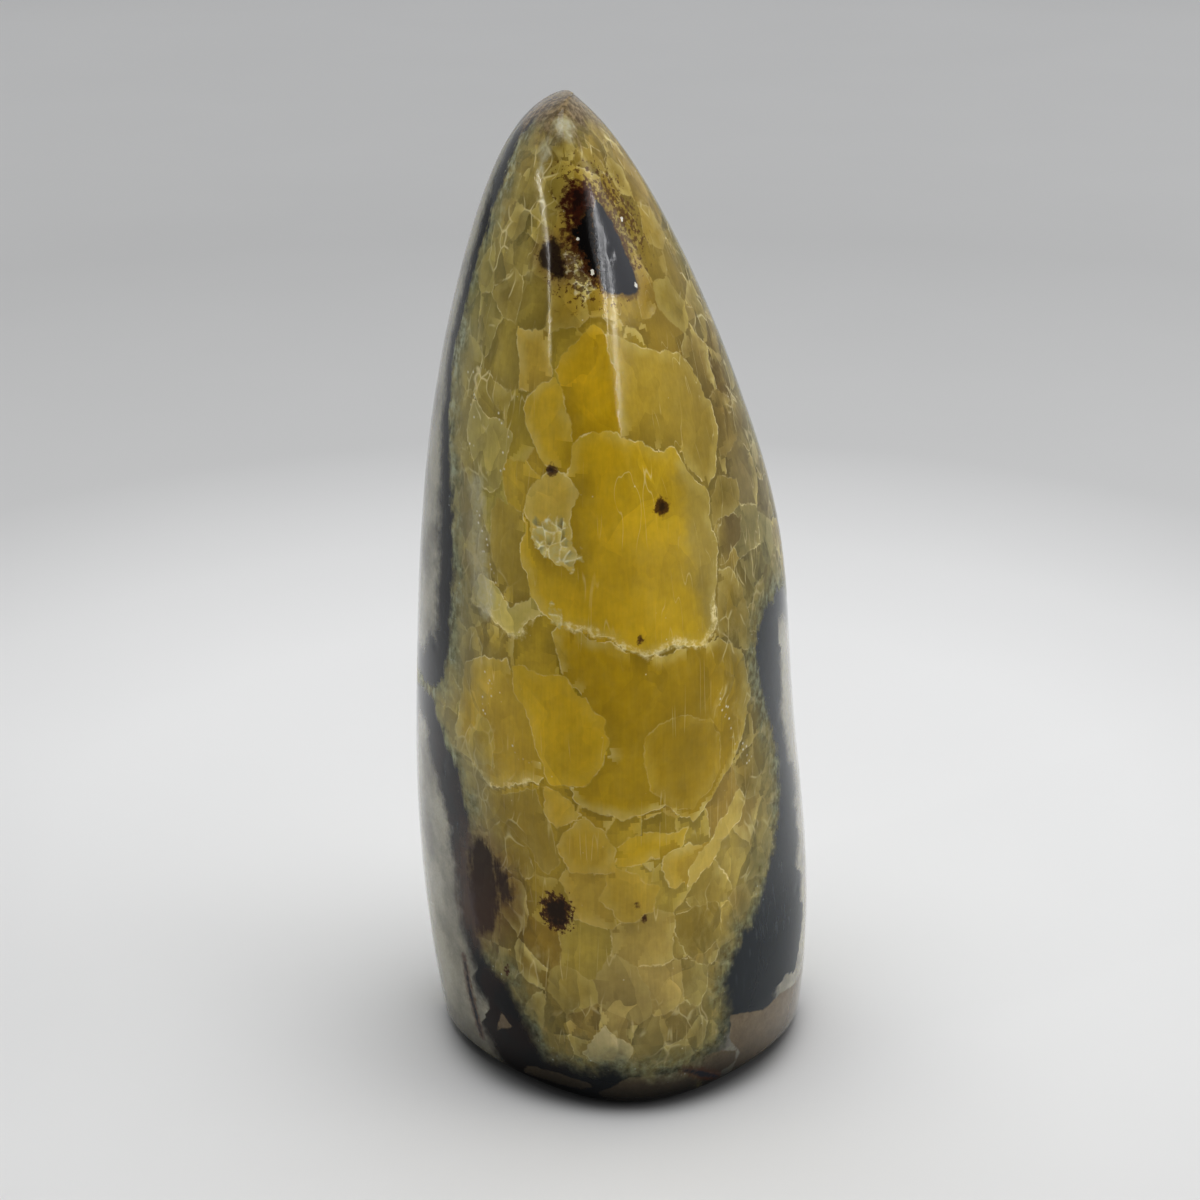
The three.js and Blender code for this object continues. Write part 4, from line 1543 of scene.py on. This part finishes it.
# %% The floor
FLOOR_REACH = 6.0
FLOOR_DROP = 0.0002
FLOOR_MIDDLE = (0, 0.07, 0)
CLOUD_SIZE = 60
CONTACT_WIDTH = 0.0035
CONTACT_SHADE = 0.68
# Painted light: how pale the floor is at each distance from its middle, in metres, standing in for the way
# the lamps light it.
PAINTED_FLOOR_LIGHT = {0.0: 0.78, 0.1: 0.78, 0.15: 0.73, 0.22: 0.6, 0.42: 0.6, 0.54: 0.67, 0.69: 0.74, 0.82: 0.80}
floor_mesh = bpy.data.meshes.new("floor")
floor_corners = [(side * FLOOR_REACH, end * FLOOR_REACH, -FLOOR_DROP)
                 for side, end in ((-1, -1), (1, -1), (1, 1), (-1, 1))]
floor_mesh.from_pydata(floor_corners, [], [(0, 1, 2, 3)])
floor = bpy.data.objects.new("floor", floor_mesh)
bpy.context.scene.collection.objects.link(floor)
matt = Shader(bpy.data.materials.new("pale_floor"))
floor_at = matt.node("ShaderNodeTexCoord", {}, (), "Object")
floor_cloud = matt.clouds(floor_at, CLOUD_SIZE, detail=4).between(0.985, 1.015)
away = matt.vector("DISTANCE", floor_at, FLOOR_MIDDLE, output="Value")
greys = [(far, (tone,) * 3) for far, tone in PAINTED_FLOOR_LIGHT.items()]
painted_floor_light = matt.node("ShaderNodeValToRGB", {"stops": greys}, (away,))
# Painted shadow: the floor is darkened in a narrow band round the stone's foot.
foot_middle = Vector((foot[0].min(0) + foot[0].max(0)) / 2) * MM
foot_radius = np.linalg.norm(foot[0] * MM - foot_middle, axis=1).mean()
from_foot = matt.vector("DISTANCE", floor_at, foot_middle, output="Value")
beyond_foot = (from_foot - foot_radius).math("MAXIMUM", 0.0)
painted_contact_shadow = 1 - matt.fade(beyond_foot, CONTACT_WIDTH) * CONTACT_SHADE
floor_surface = matt.node("ShaderNodeBsdfPrincipled", {}, {
    "Base Color": matt.tint(painted_floor_light, floor_cloud * painted_contact_shadow), "Roughness": 0.75, "Specular IOR Level": 0.3})
matt.finish("ShaderNodeOutputMaterial", floor_surface)
floor_mesh.materials.append(matt.owner)
print(f"a floor {2 * FLOOR_REACH:.0f} m wide, with a foot of {foot_radius / MM:.0f} mm radius on it")

# %% The pale room
ROOM_IN_FRONT = (0.19, 0.19, 0.193)
ROOM_BEHIND = (0.48, 0.486, 0.49)

room = Shader(bpy.data.worlds.new("pale_room"))
direction = room.node("ShaderNodeTexCoord", {}, (), "Generated")
backwards = room.node("ShaderNodeSeparateXYZ", {}, (direction,), "Y")
room_tone = room.blend(ROOM_IN_FRONT, ROOM_BEHIND, room.rise(backwards, -0.5, 0.6))
room_light = room.node("ShaderNodeBackground", {}, {"Color": room_tone, "Strength": 1.0})
room.finish("ShaderNodeOutputWorld", room_light)
bpy.context.scene.world = room.owner
print(f"a room {ROOM_BEHIND[0] / ROOM_IN_FRONT[0]:.1f} times brighter behind than in front")

# %% The lamps
# Each lamp's two ends as (turn, lift) in degrees, how far off it is, how thick and how bright.
LAMPS = {
    "overhead": ((-100, 65), (100, 65), 0.8, 0.6, 2.0),
    "left_strip": ((-98, 14.5), (-60, 12), 1.0, 0.018, 20.0),
    "lower_left_strip": ((-60, 12), (-56, -1), 1.0, 0.022, 20.0),
    "right_strip": ((51, 10.5), (96, 22), 1.0, 0.016, 20.0),
    "lower_right_strip": ((47, 2.7), (92, 18), 1.0, 0.016, 20.0),
    "right_window": ((62, 14), (112, 18), 1.1, 0.35, 1.3),
}
LAMP_AIM = Vector((-5, -15, 125)) * MM


def towards(turn, lift):
    """The direction at a turn to the right of the front and a lift above level, in degrees."""
    turn, lift = np.radians((turn, lift))
    return Vector((np.sin(turn) * np.cos(lift), -np.cos(turn) * np.cos(lift), np.sin(lift)))


def lamp(name, start, end, far, thickness, brightness):
    """A lamp that reaches from one direction to another, far away, and faces the stone."""
    first, last = (LAMP_AIM + far * towards(*way) for way in (start, end))
    light = bpy.data.lights.new(name, "AREA")
    light.shape = "RECTANGLE"
    light.size = (last - first).length
    light.size_y = thickness
    light.energy = brightness * np.pi * light.size * light.size_y
    lamp_object = bpy.data.objects.new(name, light)
    lamp_object.location = (first + last) / 2
    along_lamp = (last - first).normalized()
    back = (lamp_object.location - LAMP_AIM).normalized()
    up = back.cross(along_lamp).normalized()
    lamp_object.rotation_euler = Matrix((along_lamp, up, along_lamp.cross(up))).transposed().to_euler()
    lamp_object.visible_camera = False
    bpy.context.scene.collection.objects.link(lamp_object)


for name, sizes in LAMPS.items():
    lamp(name, *sizes)
print(f"{len(LAMPS)} lamps")
bpy.context.scene.view_settings.view_transform = "Standard"
bpy.context.scene.view_settings.look = "High Contrast"

# %% The camera
AIM = Vector((-2.13, -4.90, 73.86)) * MM
DISTANCE = 0.43
ELEVATION = np.radians(22)
LENS = 86.06
SENSOR = 36
NEAREST = 0.01
camera_data = bpy.data.cameras.new("camera")
camera_data.lens = LENS
camera_data.sensor_width = SENSOR
camera_data.clip_start = NEAREST
camera = bpy.data.objects.new("camera", camera_data)
camera.location = AIM + DISTANCE * Vector((0, -np.cos(ELEVATION), np.sin(ELEVATION)))
camera.rotation_euler = (AIM - camera.location).to_track_quat("-Z", "Y").to_euler()
bpy.context.scene.collection.objects.link(camera)
bpy.context.scene.camera = camera
print("the camera stands at", [round(place, 3) for place in camera.location])
